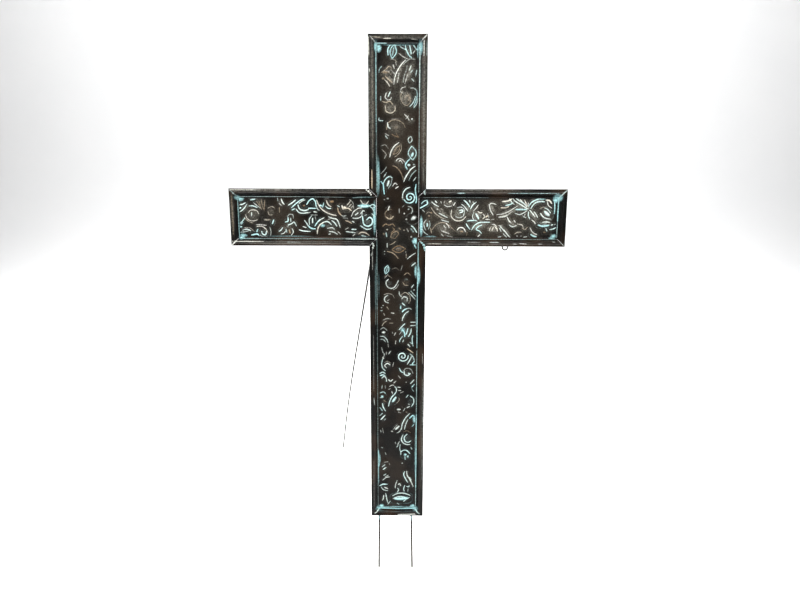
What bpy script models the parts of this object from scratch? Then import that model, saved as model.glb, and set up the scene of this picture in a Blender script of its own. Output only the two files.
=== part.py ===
"""A thin sheet-metal memorial cross that stands on two stakes and a rear leg.

Units are metres, +Z is up and the embossed front looks towards -Y. The twelve lengths of
moulding, the three panels, the wire loop and the rods are all laid out in the plane of the
cross: x to the right, y backwards from the moulding's crest, z up from the bottom edge of
the post. One empty leans that plane back, so that the stakes and the leg stand on z = 0.
"""

import bpy
import bmesh
import math
import numpy as np
from mathutils import Vector

# The cross
SPAN = 0.610
LIMB_WIDTH = 0.1035
LOWER_LIMB = 0.544
UPPER_LIMB = 0.2605
DEPTH = 0.014
LEAN = math.radians(2.5)
GAP = 0.0003
MILLIMETRE = 0.001

# Sheet and moulding
SHEET = 0.0009
PANEL_SHEET = 0.0013
PANEL_FACE = 0.0069
PANEL_LAP = 0.0030
PANEL_CELL = 0.0052
RELIEF = 0.0024
TURNED_EDGE = 0.0010
TURNED_SLOPE = 0.0015
TURNED_LIFT = 0.0012

# Rods
ROD_RADIUS = 0.002
ROD_SIDES = 10
STAKE_DROP = 0.1265
STAKE_TOP_SETBACK = 0.0005
STAKE_BEND = 0.012
SPLAY_AT_BEND = 0.10
LEFT_STAKE_X = -0.0360
LEFT_STAKE_SPLAY = -0.0015
RIGHT_STAKE_X = 0.0285
RIGHT_STAKE_SPLAY = 0.0025
LEG_TOP = 0.652
LEG_BEND = 0.604
LEG_KNEE = 0.020
LEG_KNEE_SHARE = 0.03
LEG_FOOT_X = -0.1655
LEG_FOOT_BACK = 0.528
LEG_BOW = 0.030
LEG_BOW_SKEW = 1.75
LEG_STEPS = 22
LOOP_WIRE_RADIUS = 0.0013
LOOP_WIRE_SIDES = 8
LOOP_X = 0.1985
LOOP_WIDTH = 0.0095
LOOP_DROP = 0.0075
LOOP_RISE = 0.009
LOOP_STRAIGHT = 0.001
LOOP_STEPS = 8

# Paints: colour, roughness, metallic.
RAIL_PAINT = ((0.030, 0.026, 0.022), 0.34, 0.75)
PANEL_PAINT = ((0.10, 0.12, 0.11), 0.38, 0.70)
ROD_PAINT = ((0.022, 0.020, 0.018), 0.42, 0.70)

HALF_LIMB = LIMB_WIDTH / 2
HALF_SPAN = SPAN / 2
ARM_TOP = LOWER_LIMB + LIMB_WIDTH
HEIGHT = ARM_TOP + UPPER_LIMB

# Section of the moulding, from the back of its outer wall over the rim rib and the crest
# down to the lip that laps the panel: distance in from the outline, distance back.
MOULDING = (
    (0.0000, DEPTH),
    (0.0000, 0.0026),
    (0.0010, 0.0010),
    (0.0026, 0.0004),
    (0.0052, 0.0013),
    (0.0084, 0.0000),
    (0.0102, 0.0009),
    (0.0122, 0.0046),
    (0.0137, 0.0048),
    (0.0152, 0.0046),
    (0.0165, 0.0056),
)
MOULDING_WIDTH = MOULDING[-1][0]
PANEL_MARGIN = MOULDING_WIDTH - PANEL_LAP
ARM_PANEL_START = HALF_LIMB - PANEL_MARGIN + GAP

# Each mitre face stands this far back along its rail, which leaves about GAP across the joint.
MITRE_SETBACK = GAP * 0.75

# Names of the twelve lengths, in the order of the outline's sides.
RAIL_NAMES = (
    "bottom_end_rail",
    "lower_right_post_rail",
    "right_arm_bottom_rail",
    "right_end_rail",
    "right_arm_top_rail",
    "upper_right_post_rail",
    "top_end_rail",
    "upper_left_post_rail",
    "left_arm_top_rail",
    "left_end_rail",
    "left_arm_bottom_rail",
    "lower_left_post_rail",
)

# Larger raised forms of the panels in millimetres: x, height, length, width, turn in degrees.
POST_FORMS = (
    (-9, 882, 24, 12, 80),
    (20, 880, 26, 18, 60),
    (-20, 846, 26, 16, 20),
    (-14, 834, 24, 10, -50),
    (3, 848, 48, 11, 66),
    (22, 848, 44, 14, 68),
    (14, 803, 28, 28, 0),
    (-16, 786, 26, 24, 0),
    (-4, 754, 32, 30, 0),
    (24, 764, 22, 12, 30),
    (-5, 716, 36, 17, 58),
    (26, 712, 30, 17, 90),
    (20, 672, 34, 12, 52),
    (-17, 657, 34, 16, 76),
    (3, 690, 34, 12, -40),
    (22, 632, 26, 25, 0),
    (-16, 599, 26, 24, 0),
    (28, 595, 16, 11, 30),
    (-5, 566, 36, 14, 55),
    (2, 537, 34, 13, 10),
    (27, 573, 22, 9, -55),
    (-20, 500, 22, 11, 76),
    (-15, 474, 26, 22, 0),
    (16, 478, 28, 26, 0),
    (-20, 446, 20, 18, 0),
    (14, 443, 26, 24, 0),
    (14, 412, 30, 11, 58),
    (-24, 404, 26, 10, 30),
    (16, 378, 32, 26, 70),
    (-24, 374, 24, 16, -20),
    (9, 333, 26, 25, 0),
    (-20, 314, 24, 20, 0),
    (20, 299, 24, 20, 0),
    (28, 330, 22, 10, 60),
    (-28, 293, 14, 12, 0),
    (-6, 246, 44, 16, 62),
    (24, 242, 26, 20, 90),
    (-26, 240, 26, 10, -70),
    (14, 200, 56, 13, 66),
    (-26, 205, 20, 9, 45),
    (20, 166, 30, 28, 0),
    (17, 129, 24, 20, 0),
    (-28, 112, 26, 12, 60),
    (-24, 84, 22, 12, 35),
    (21, 76, 42, 11, -60),
    (-24, 60, 22, 14, -20),
    (5, 62, 26, 12, 80),
    (8, 36, 42, 17, 8),
    (-22, 36, 26, 10, -70),
)
LEFT_ARM_FORMS = (
    (-278, 612, 24, 12, 25),
    (-264, 600, 30, 26, 0),
    (-248, 622, 26, 14, -30),
    (-246, 568, 28, 22, 0),
    (-276, 572, 26, 10, -10),
    (-230, 607, 20, 18, 0),
    (-212, 620, 20, 12, -60),
    (-200, 575, 30, 20, 0),
    (-192, 620, 30, 12, 35),
    (-170, 612, 34, 24, 0),
    (-155, 586, 26, 14, 90),
    (-152, 618, 26, 20, 0),
    (-130, 606, 50, 10, -40),
    (-126, 624, 28, 10, -50),
    (-124, 578, 44, 26, -30),
    (-94, 612, 34, 18, 10),
    (-72, 604, 28, 13, 40),
    (-56, 588, 26, 24, 0),
    (-60, 622, 20, 14, 0),
    (-70, 566, 36, 10, -10),
)
RIGHT_ARM_FORMS = (
    (54, 584, 26, 13, 90),
    (56, 620, 20, 10, 30),
    (78, 608, 48, 10, -36),
    (84, 574, 46, 22, -30),
    (94, 622, 24, 12, 0),
    (111, 604, 30, 28, 0),
    (130, 612, 34, 22, 90),
    (117, 570, 22, 18, 0),
    (144, 600, 22, 18, -40),
    (148, 580, 38, 16, 10),
    (172, 612, 24, 10, -60),
    (174, 576, 26, 18, 0),
    (200, 624, 36, 12, 10),
    (206, 608, 54, 13, 24),
    (197, 571, 34, 12, -52),
    (226, 616, 46, 16, -20),
    (208, 586, 30, 12, -35),
    (250, 626, 44, 14, 20),
    (246, 602, 32, 12, -60),
    (270, 604, 26, 14, -40),
    (268, 586, 26, 10, 0),
    (248, 566, 26, 10, -35),
    (279, 566, 22, 14, 0),
)


def clear_scene():
    for obj in list(bpy.data.objects):
        bpy.data.objects.remove(obj, do_unlink=True)


def make_material(name, color, roughness, metallic):
    material = bpy.data.materials.new(name)
    material.use_nodes = True
    shader = material.node_tree.nodes["Principled BSDF"]
    shader.inputs["Base Color"].default_value = (*color, 1.0)
    shader.inputs["Roughness"].default_value = roughness
    shader.inputs["Metallic"].default_value = metallic
    return material


def finish_object(name, bm, paint, parent):
    """Turn a bmesh into a named object in the plane of the cross, with its own material."""
    bmesh.ops.recalc_face_normals(bm, faces=bm.faces)
    mesh = bpy.data.meshes.new(name)
    bm.to_mesh(mesh)
    bm.free()
    mesh.materials.append(make_material(name + "_paint", *paint))
    obj = bpy.data.objects.new(name, mesh)
    bpy.context.scene.collection.objects.link(obj)
    obj.parent = parent
    return obj


def outline():
    """The cross's outline, anticlockwise from the post's bottom left corner, as x and height."""
    return [
        Vector((-HALF_LIMB, 0)),
        Vector((HALF_LIMB, 0)),
        Vector((HALF_LIMB, LOWER_LIMB)),
        Vector((HALF_SPAN, LOWER_LIMB)),
        Vector((HALF_SPAN, ARM_TOP)),
        Vector((HALF_LIMB, ARM_TOP)),
        Vector((HALF_LIMB, HEIGHT)),
        Vector((-HALF_LIMB, HEIGHT)),
        Vector((-HALF_LIMB, ARM_TOP)),
        Vector((-HALF_SPAN, ARM_TOP)),
        Vector((-HALF_SPAN, LOWER_LIMB)),
        Vector((-HALF_LIMB, LOWER_LIMB)),
    ]


def folded_section(line, thickness):
    """A closed section of sheet: the line, then the same line set inwards by the thickness."""
    points = [Vector(p) for p in line]
    sides = [(b - a).normalized() for a, b in zip(points, points[1:])]
    normals = [Vector((-side.y, side.x)) for side in sides]
    inner = []
    for i, point in enumerate(points):
        before = normals[max(i - 1, 0)]
        after = normals[min(i, len(normals) - 1)]
        middle = (before + after).normalized()
        inner.append(point + middle * (thickness / middle.dot(after)))
    return points + inner[::-1]


def make_rail(name, corners, index, parent):
    """One length of moulding along a side of the outline, mitred to its neighbours.

    A point of the section that is s in from the outline lies on the bisector of each corner,
    at the corner plus s times the sum of the two sides' inward normals.
    """
    count = len(corners)
    start, end = corners[index], corners[(index + 1) % count]
    before, after = corners[index - 1], corners[(index + 2) % count]
    along = (end - start).normalized()
    inward = Vector((-along.y, along.x))
    side_before = (start - before).normalized()
    side_after = (after - end).normalized()
    bisect_start = inward + Vector((-side_before.y, side_before.x))
    bisect_end = inward + Vector((-side_after.y, side_after.x))
    setback = along * MITRE_SETBACK

    bm = bmesh.new()
    rings = []
    for corner, bisect, shift in ((start, bisect_start, setback), (end, bisect_end, -setback)):
        ring = []
        for s, behind in folded_section(MOULDING, SHEET):
            place = corner + bisect * s + shift
            ring.append(bm.verts.new((place.x, behind, place.y)))
        rings.append(ring)
    first, last = rings
    for i in range(len(first)):
        j = (i + 1) % len(first)
        bm.faces.new((first[i], first[j], last[j], last[i]))
    bm.faces.new(first)
    bm.faces.new(last[::-1])
    return finish_object(name, bm, RAIL_PAINT, parent)


def relief_height(x, z, forms):
    """How far the sheet stands forward: the highest of the smooth oval forms at this point.

    Each form is RELIEF times (1 - r^2)^1.5, r being the oval's own radius at the point.
    """
    height = np.zeros_like(x)
    for form_x, form_z, length, width, turn in forms:
        angle = math.radians(turn)
        dx = x - form_x * MILLIMETRE
        dz = z - form_z * MILLIMETRE
        u = (dx * math.cos(angle) + dz * math.sin(angle)) / (length * MILLIMETRE / 2)
        v = (dz * math.cos(angle) - dx * math.sin(angle)) / (width * MILLIMETRE / 2)
        inside = np.clip(1 - u * u - v * v, 0, 1)
        height = np.maximum(height, RELIEF * inside ** 1.5)
    return height


def spaced(low, high, step):
    """Evenly spaced values from low to high, at about the given step."""
    return np.linspace(low, high, max(2, round((high - low) / step) + 1))


def make_panel(name, columns, rows, forms, raised_edge, parent):
    """An embossed panel: a grid of front points over a flat back.

    raised_edge is the x of a turned-up edge at an arm panel's inner end, or None.
    """
    x, z = np.meshgrid(columns, rows)
    lift = relief_height(x, z, forms)
    sides = np.minimum(z - rows[0], rows[-1] - z)
    if raised_edge is None:
        sides = np.minimum(sides, np.minimum(x - columns[0], columns[-1] - x))
    else:
        sides = np.minimum(sides, np.abs(x).max() - np.abs(x))
        turned = np.abs(x - raised_edge) < TURNED_EDGE + TURNED_SLOPE / 2
        lift = np.where(turned, np.maximum(lift, TURNED_LIFT), lift)
    lift = np.where(sides < PANEL_LAP + GAP, 0, lift)

    bm = bmesh.new()
    front = [
        [bm.verts.new((x[r, c], PANEL_FACE - lift[r, c], z[r, c])) for c in range(len(columns))]
        for r in range(len(rows))
    ]
    for r in range(len(rows) - 1):
        for c in range(len(columns) - 1):
            bm.faces.new((front[r][c], front[r][c + 1], front[r + 1][c + 1], front[r + 1][c]))
    edge = front[0] + [row[-1] for row in front[1:]]
    edge += front[-1][-2::-1] + [row[0] for row in front[-2:0:-1]]
    back = [bm.verts.new((v.co.x, PANEL_FACE + PANEL_SHEET, v.co.z)) for v in edge]
    for i in range(len(edge)):
        j = (i + 1) % len(edge)
        bm.faces.new((edge[i], edge[j], back[j], back[i]))
    bm.faces.new(back)
    return finish_object(name, bm, PANEL_PAINT, parent)


def make_post_panel(parent):
    half = HALF_LIMB - PANEL_MARGIN
    columns = np.concatenate([[-half], spaced(-half + PANEL_LAP, half - PANEL_LAP, PANEL_CELL), [half]])
    rows = np.concatenate([
        [PANEL_MARGIN],
        spaced(PANEL_MARGIN + PANEL_LAP, HEIGHT - PANEL_MARGIN - PANEL_LAP, PANEL_CELL),
        [HEIGHT - PANEL_MARGIN],
    ])
    return make_panel("post_panel", columns, rows, POST_FORMS, None, parent)


def make_arm_panel(name, side, forms, parent):
    """The arm's panel, from its turned-up edge at the post's panel to under the end rail."""
    outer = HALF_SPAN - PANEL_MARGIN
    flat_start = ARM_PANEL_START + TURNED_EDGE + TURNED_SLOPE
    distances = np.concatenate([
        [ARM_PANEL_START, ARM_PANEL_START + TURNED_EDGE],
        spaced(flat_start, outer - PANEL_LAP, PANEL_CELL),
        [outer],
    ])
    columns = np.sort(side * distances)
    low, high = LOWER_LIMB + PANEL_MARGIN, ARM_TOP - PANEL_MARGIN
    rows = np.concatenate([[low], spaced(low + PANEL_LAP, high - PANEL_LAP, PANEL_CELL), [high]])
    return make_panel(name, columns, rows, forms, side * ARM_PANEL_START, parent)


def floor_level(behind):
    """Height, in the plane of the cross, of the floor at a distance back from the crest."""
    stake_back = DEPTH + GAP + ROD_RADIUS
    return -STAKE_DROP + (behind - stake_back) * math.tan(LEAN)


def make_rod(name, points, radius, sides, parent, foot):
    """A round rod along the points, its section carried along without twist.

    foot is True for a rod whose last end is cut level with the floor.
    """
    path = [Vector(p) for p in points]
    bm = bmesh.new()
    rings = []
    tangent = (path[1] - path[0]).normalized()
    across = tangent.orthogonal().normalized()
    for i, point in enumerate(path):
        before = path[max(i - 1, 0)]
        after = path[min(i + 1, len(path) - 1)]
        new_tangent = (after - before).normalized()
        across = tangent.rotation_difference(new_tangent) @ across
        tangent = new_tangent
        other = tangent.cross(across)
        ring = []
        for k in range(sides):
            turn = 2 * math.pi * k / sides
            ring.append(point + across * (radius * math.cos(turn)) + other * (radius * math.sin(turn)))
        rings.append(ring)
    if foot:
        rise = tangent.z - tangent.y * math.tan(LEAN)
        rings[-1] = [p + tangent * ((floor_level(p.y) - p.z) / rise) for p in rings[-1]]
    made = [[bm.verts.new(p) for p in ring] for ring in rings]
    for ring, following in zip(made, made[1:]):
        for i in range(sides):
            j = (i + 1) % sides
            bm.faces.new((ring[i], ring[j], following[j], following[i]))
    bm.faces.new(made[0])
    bm.faces.new(made[-1][::-1])
    rod = finish_object(name, bm, ROD_PAINT, parent)
    rod.data.shade_smooth()
    rod.data.set_sharp_from_angle(angle=math.radians(50))
    return rod


def make_stake(name, x, splay, parent):
    """A stake welded to the back of the two end rails and splayed a little below the cross."""
    behind = DEPTH + GAP + ROD_RADIUS
    points = [
        (x, behind, HEIGHT - STAKE_TOP_SETBACK),
        (x, behind, STAKE_BEND),
        (x + splay * SPLAY_AT_BEND, behind, -STAKE_BEND),
        (x + splay, behind, floor_level(behind)),
    ]
    return make_rod(name, points, ROD_RADIUS, ROD_SIDES, parent, foot=True)


def make_rear_leg(parent):
    """The rear leg: laid along the left stake at its top, then bent out, back and down.

    Below the bend it bows forward and up from the straight line by LEG_BOW times
    sin(pi u^LEG_BOW_SKEW), u running from 0 at the bend to 1 at the foot, less what that
    gives at the end of the rounded knee, so that the leg runs on from the knee unbroken.
    """
    behind = DEPTH + 2 * GAP + 3 * ROD_RADIUS
    bend = Vector((LEFT_STAKE_X, behind, LEG_BEND))
    foot = Vector((LEG_FOOT_X, LEG_FOOT_BACK, floor_level(LEG_FOOT_BACK)))
    upward = Vector((0, -1, 1)).normalized()
    knee_high = Vector((LEFT_STAKE_X, behind, LEG_BEND + LEG_KNEE))
    knee_low = bend.lerp(foot, LEG_KNEE_SHARE)
    points = [Vector((LEFT_STAKE_X, behind, LEG_TOP)), knee_high]
    for t in (0.25, 0.5, 0.75):
        points.append(knee_high.lerp(bend, t).lerp(bend.lerp(knee_low, t), t))
    bow_at_knee = math.sin(math.pi * LEG_KNEE_SHARE ** LEG_BOW_SKEW)
    for i in range(LEG_STEPS + 1):
        u = LEG_KNEE_SHARE + (1 - LEG_KNEE_SHARE) * i / LEG_STEPS
        bow = LEG_BOW * (math.sin(math.pi * u ** LEG_BOW_SKEW) - bow_at_knee * (1 - u))
        points.append(bend.lerp(foot, u) + upward * bow)
    return make_rod("rear_leg", points, ROD_RADIUS, ROD_SIDES, parent, foot=True)


def make_wire_loop(parent):
    """A small U of wire on the back of the right arm's lower rail, hanging below its edge."""
    behind = DEPTH + GAP + LOOP_WIRE_RADIUS
    radius = LOOP_WIDTH / 2
    centre = LOWER_LIMB - LOOP_DROP + radius
    left, right = LOOP_X - radius, LOOP_X + radius
    top = LOWER_LIMB + LOOP_RISE
    points = [(left, behind, top), (left, behind, centre + LOOP_STRAIGHT)]
    for i in range(LOOP_STEPS + 1):
        turn = math.pi + math.pi * i / LOOP_STEPS
        points.append((LOOP_X + radius * math.cos(turn), behind, centre + radius * math.sin(turn)))
    points += [(right, behind, centre + LOOP_STRAIGHT), (right, behind, top)]
    return make_rod("arm_wire_loop", points, LOOP_WIRE_RADIUS, LOOP_WIRE_SIDES, parent, foot=False)


def stand_on_origin(plane, pieces):
    """Move the leaning plane so that z = 0 and x = y = 0 are under the middle of the whole."""
    bpy.context.view_layer.update()
    corners = np.array([piece.matrix_world @ v.co for piece in pieces for v in piece.data.vertices])
    low, high = corners.min(axis=0), corners.max(axis=0)
    plane.location = Vector((-(low[0] + high[0]) / 2, -(low[1] + high[1]) / 2, -low[2]))


def build():
    clear_scene()
    plane = bpy.data.objects.new("cross_plane", None)
    bpy.context.scene.collection.objects.link(plane)
    plane.rotation_euler = (-LEAN, 0, 0)

    corners = outline()
    pieces = [make_rail(name, corners, i, plane) for i, name in enumerate(RAIL_NAMES)]
    pieces.append(make_post_panel(plane))
    pieces.append(make_arm_panel("left_arm_panel", -1, LEFT_ARM_FORMS, plane))
    pieces.append(make_arm_panel("right_arm_panel", 1, RIGHT_ARM_FORMS, plane))
    pieces.append(make_stake("left_stake", LEFT_STAKE_X, LEFT_STAKE_SPLAY, plane))
    pieces.append(make_stake("right_stake", RIGHT_STAKE_X, RIGHT_STAKE_SPLAY, plane))
    pieces.append(make_rear_leg(plane))
    pieces.append(make_wire_loop(plane))
    stand_on_origin(plane, pieces)


build()
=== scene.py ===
"""The looks of a sheet-metal memorial cross: black-brown enamel, rubbed silver and turquoise,
with painted highlights along the ridges and a painted sheen.

Lengths are metres, +Z is up and the embossed front looks towards -Y. Painted strokes and
embossed forms are listed in millimetres, as x and height in the plane of the cross, measured
from the middle of the post's bottom edge.
"""

import math

import bpy
import numpy as np
from mathutils import Matrix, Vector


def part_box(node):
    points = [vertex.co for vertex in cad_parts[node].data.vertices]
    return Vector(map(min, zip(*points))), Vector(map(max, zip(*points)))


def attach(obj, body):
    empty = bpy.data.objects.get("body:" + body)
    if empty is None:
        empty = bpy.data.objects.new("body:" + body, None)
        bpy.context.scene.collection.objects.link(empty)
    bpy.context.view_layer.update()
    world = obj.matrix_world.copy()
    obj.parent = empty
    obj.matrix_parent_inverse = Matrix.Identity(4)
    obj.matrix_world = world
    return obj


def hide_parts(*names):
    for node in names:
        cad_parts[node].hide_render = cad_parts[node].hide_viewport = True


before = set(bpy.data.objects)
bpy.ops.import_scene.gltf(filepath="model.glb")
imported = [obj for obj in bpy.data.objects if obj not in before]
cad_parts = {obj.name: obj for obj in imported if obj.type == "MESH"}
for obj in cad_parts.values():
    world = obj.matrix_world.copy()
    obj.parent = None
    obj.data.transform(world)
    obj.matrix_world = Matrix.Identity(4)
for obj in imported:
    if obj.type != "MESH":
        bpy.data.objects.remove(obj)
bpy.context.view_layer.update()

# Studio: one pale sweep of paper, flat on the floor and curved up behind into a wall. A narrow
# strip light hangs above in front, a weaker upright one stands at each side, and two lights
# brighten only the wall and the floor. The room in front is dim, so the gloss stays dark.

SWEEP_HALF_WIDTH = 6.0
SWEEP_FRONT = -4.0
SWEEP_BEND = 2.2
SWEEP_RADIUS = 1.2
SWEEP_TOP = 5.0
PAPER = (0.93, 0.93, 0.93, 1.0)


def quads_over(rows, columns, wrap=False):
    """Corner numbers of the quads of a grid stored row by row.

    The quad at row r and column c has corners (r, c), (r, c+1), (r+1, c+1) and (r+1, c);
    wrap also joins the last column to the first.
    """
    r = np.arange(rows - 1)[:, None] * columns
    c = np.arange(columns if wrap else columns - 1)[None, :]
    following = (c + 1) % columns
    corners = (r + c, r + following, r + columns + following, r + columns + c)
    return np.stack(corners, axis=-1).reshape(-1, 4)


def make_mesh(name, points, faces, material):
    """A smooth-shaded mesh object at the origin from an array of points and lists of faces."""
    mesh = bpy.data.meshes.new(name)
    mesh.from_pydata(np.asarray(points).reshape(-1, 3).tolist(), [], faces)
    mesh.shade_smooth()
    mesh.materials.append(material)
    obj = bpy.data.objects.new(name, mesh)
    bpy.context.scene.collection.objects.link(obj)
    return obj


def paper_material():
    """Matt pale paper with a very faint mottle."""
    material = bpy.data.materials.new("sweep_paper")
    material.use_nodes = True
    nodes, links = material.node_tree.nodes, material.node_tree.links
    shader = nodes["Principled BSDF"]
    shader.inputs["Roughness"].default_value = 0.85
    where = nodes.new("ShaderNodeTexCoord")
    mottle = nodes.new("ShaderNodeTexNoise")
    mottle.inputs["Scale"].default_value = 3.0
    tone = nodes.new("ShaderNodeMix")
    tone.data_type = "RGBA"
    tone.inputs["A"].default_value = PAPER
    tone.inputs["B"].default_value = (0.90, 0.905, 0.91, 1.0)
    links.new(where.outputs["Object"], mottle.inputs["Vector"])
    links.new(mottle.outputs["Fac"], tone.inputs["Factor"])
    links.new(tone.outputs["Result"], shader.inputs["Base Color"])
    return material


def sweep_profile():
    """Side view of the sweep as y and z: floor, a quarter turn of SWEEP_RADIUS, then wall."""
    turn = np.linspace(0, math.pi / 2, 17)
    bend_y = SWEEP_BEND + SWEEP_RADIUS * np.sin(turn)
    bend_z = SWEEP_RADIUS * (1 - np.cos(turn))
    y = np.concatenate([[SWEEP_FRONT, 0.0], bend_y, [bend_y[-1]]])
    z = np.concatenate([[0.0, 0.0], bend_z, [SWEEP_TOP]])
    return y, z


sweep_y, sweep_z = sweep_profile()
sweep_x = np.linspace(-SWEEP_HALF_WIDTH, SWEEP_HALF_WIDTH, 5)
sweep_grid = np.stack(
    [
        np.broadcast_to(sweep_x, (len(sweep_y), len(sweep_x))),
        np.broadcast_to(sweep_y[:, None], (len(sweep_y), len(sweep_x))),
        np.broadcast_to(sweep_z[:, None], (len(sweep_y), len(sweep_x))),
    ],
    axis=-1,
)
sweep = make_mesh(
    "sweep", sweep_grid, quads_over(len(sweep_y), len(sweep_x)).tolist(), paper_material()
)


def soft_light(name, place, aim, width, height, power, color, spread=180):
    """A rectangular soft light at place, turned to face aim; spread, in degrees, is how far its
    beam opens."""
    light = bpy.data.lights.new(name, "AREA")
    light.shape = "RECTANGLE"
    light.size = width
    light.size_y = height
    light.energy = power
    light.spread = math.radians(spread)
    light.color = color
    obj = bpy.data.objects.new(name, light)
    away = np.array(place, float) - np.array(aim, float)
    away /= np.linalg.norm(away)
    side = np.cross((0.0, 0.0, 1.0), away)
    side = side / np.linalg.norm(side) if np.linalg.norm(side) > 1e-6 else np.array((1.0, 0, 0))
    up = np.cross(away, side)
    obj.matrix_world = Matrix([(side[i], up[i], away[i], place[i]) for i in range(3)] + [(0, 0, 0, 1)])
    bpy.context.scene.collection.objects.link(obj)
    return obj


soft_light("overhead_strip", (0.0, -1.5, 2.4), (0.0, -0.2, 0.6), 2.2, 0.08, 14, (1, 0.99, 0.97), 70)
soft_light("left_strip", (-2.2, -1.5, 1.6), (0.0, -0.2, 0.6), 0.30, 1.8, 7, (0.97, 0.99, 1), 60)
soft_light("right_strip", (2.2, -1.3, 1.5), (0.0, -0.2, 0.6), 0.30, 1.8, 5, (1, 0.99, 0.97), 60)
soft_light("wall_light", (0.0, 0.9, 3.4), (0.0, 3.4, 1.0), 4.0, 1.0, 150, (1, 1, 1))
soft_light("floor_light", (0.0, 1.4, 2.6), (0.0, 0.9, 0.0), 3.0, 1.2, 60, (1, 1, 1), 110)

world = bpy.data.worlds.new("studio_room")
world.use_nodes = True
bpy.context.scene.world = world
room_nodes, room_links = world.node_tree.nodes, world.node_tree.links
room_way = room_nodes.new("ShaderNodeTexCoord")
room_split = room_nodes.new("ShaderNodeSeparateXYZ")
room_ramp = room_nodes.new("ShaderNodeValToRGB")
room_ramp.color_ramp.elements[0].position = 0.30
room_ramp.color_ramp.elements[0].color = (0.10, 0.10, 0.10, 1)
room_ramp.color_ramp.elements[1].position = 0.75
room_ramp.color_ramp.elements[1].color = (0.9, 0.9, 0.9, 1)
room_shift = room_nodes.new("ShaderNodeMath")
room_shift.operation = "MULTIPLY_ADD"
room_shift.inputs[1].default_value = 0.5
room_shift.inputs[2].default_value = 0.5
room_links.new(room_way.outputs["Generated"], room_split.inputs["Vector"])
room_links.new(room_split.outputs["Y"], room_shift.inputs[0])
room_links.new(room_shift.outputs["Value"], room_ramp.inputs["Fac"])
room_links.new(room_ramp.outputs["Color"], room_nodes["Background"].inputs["Color"])
bpy.context.scene.view_settings.view_transform = "Standard"

# Camera: a phone-like view from a little above the arms, looking down on the leaning cross.
# Its place, pitch, yaw and roll come from the twelve corners of the outline in the photo.

CAMERA_PLACE = (0.018377, -1.32538, 0.84616)
CAMERA_PITCH = math.radians(14.285)
CAMERA_YAW = math.radians(-0.718)
CAMERA_ROLL = math.radians(0.110)
CAMERA_LENS = 27.0
CAMERA_SENSOR = 36.0


def camera_axes(pitch, yaw, roll):
    """The camera's right, up and backward directions.

    Forward is turned by yaw from +Y towards +X and dips by pitch; right and up are then
    turned about it by roll.
    """
    forward = np.array([
        math.sin(yaw) * math.cos(pitch),
        math.cos(yaw) * math.cos(pitch),
        -math.sin(pitch),
    ])
    level = np.array([math.cos(yaw), -math.sin(yaw), 0.0])
    above = np.cross(level, forward)
    right = math.cos(roll) * level + math.sin(roll) * above
    up = -math.sin(roll) * level + math.cos(roll) * above
    return right, up, -forward


camera_data = bpy.data.cameras.new("camera")
camera_data.lens = CAMERA_LENS
camera_data.sensor_width = CAMERA_SENSOR
camera_data.clip_start = 0.01
camera = bpy.data.objects.new("camera", camera_data)
bpy.context.scene.collection.objects.link(camera)
axes = camera_axes(CAMERA_PITCH, CAMERA_YAW, CAMERA_ROLL)
camera.matrix_world = Matrix(
    [(axes[0][i], axes[1][i], axes[2][i], CAMERA_PLACE[i]) for i in range(3)] + [(0, 0, 0, 1)]
)
bpy.context.scene.camera = camera

# Moulding: twelve lengths of thin steel sheet folded into a rim bead, a groove, a rounded crest,
# a steep inner slope and a lip that laps the panels. The lengths are mitred at the corners.
# Black-brown enamel, silver rubbed along the ribs with painted highlights along the crests and
# rim beads, a painted sheen in places, and turquoise along the lip.

MM = 0.001
LEAN = math.radians(2.5)
DEPTH = 0.014
CREST_IN = 0.0084
SPAN = 0.610
LIMB_WIDTH = 0.1035
LOWER_LIMB = 0.544
UPPER_LIMB = 0.2605
HALF_LIMB = LIMB_WIDTH / 2
HALF_SPAN = SPAN / 2
ARM_TOP = LOWER_LIMB + LIMB_WIDTH
HEIGHT = ARM_TOP + UPPER_LIMB

SHEET = 0.0009
RIM_INSET = 0.0001
MITRE_SETBACK = 0.0002
RAIL_STEP = 0.0025
RAIL_WAVE = 0.00010

PAINT_EDGE = 1.7
BESIDE_GAP = 1.35
BESIDE_RISE = 0.45
# The lower ridge beside each stroke carries a faint painted highlight, for the glint on its flank.
BESIDE_PAINTED_HIGHLIGHT = 0.22

# From the back of the outer wall to the lip: distance in from the outline and distance back.
MOULDING_LINE = (
    (0.0, 13.9), (0.0, 9.0), (0.0, 4.5), (0.0, 1.7), (0.25, 0.75), (1.1, 0.35), (2.6, 0.38),
    (3.9, 0.85), (5.2, 1.5), (6.4, 1.0), (7.4, 0.3), (8.4, 0.05), (9.4, 0.45), (10.3, 1.5),
    (11.2, 3.2), (12.0, 4.6), (12.8, 5.05), (13.7, 4.45), (14.7, 4.5), (15.6, 5.1), (16.5, 5.75),
)

base_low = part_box("bottom_end_rail")[0]
PLANE_Y = base_low.y - CREST_IN * math.sin(LEAN)
PLANE_Z = base_low.z + DEPTH * math.sin(LEAN)


def stand(x, back, height):
    """Points in the leaning plane of the cross, as places in the room.

    The plane is turned back by LEAN about the post's bottom edge: y grows by height times
    sine and back times cosine, z by height times cosine less back times sine.
    """
    x, back, height = np.broadcast_arrays(x, back, height)
    y = PLANE_Y + height * math.sin(LEAN) + back * math.cos(LEAN)
    z = PLANE_Z + height * math.cos(LEAN) - back * math.sin(LEAN)
    return np.stack([x, y, z], axis=-1)


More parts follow.
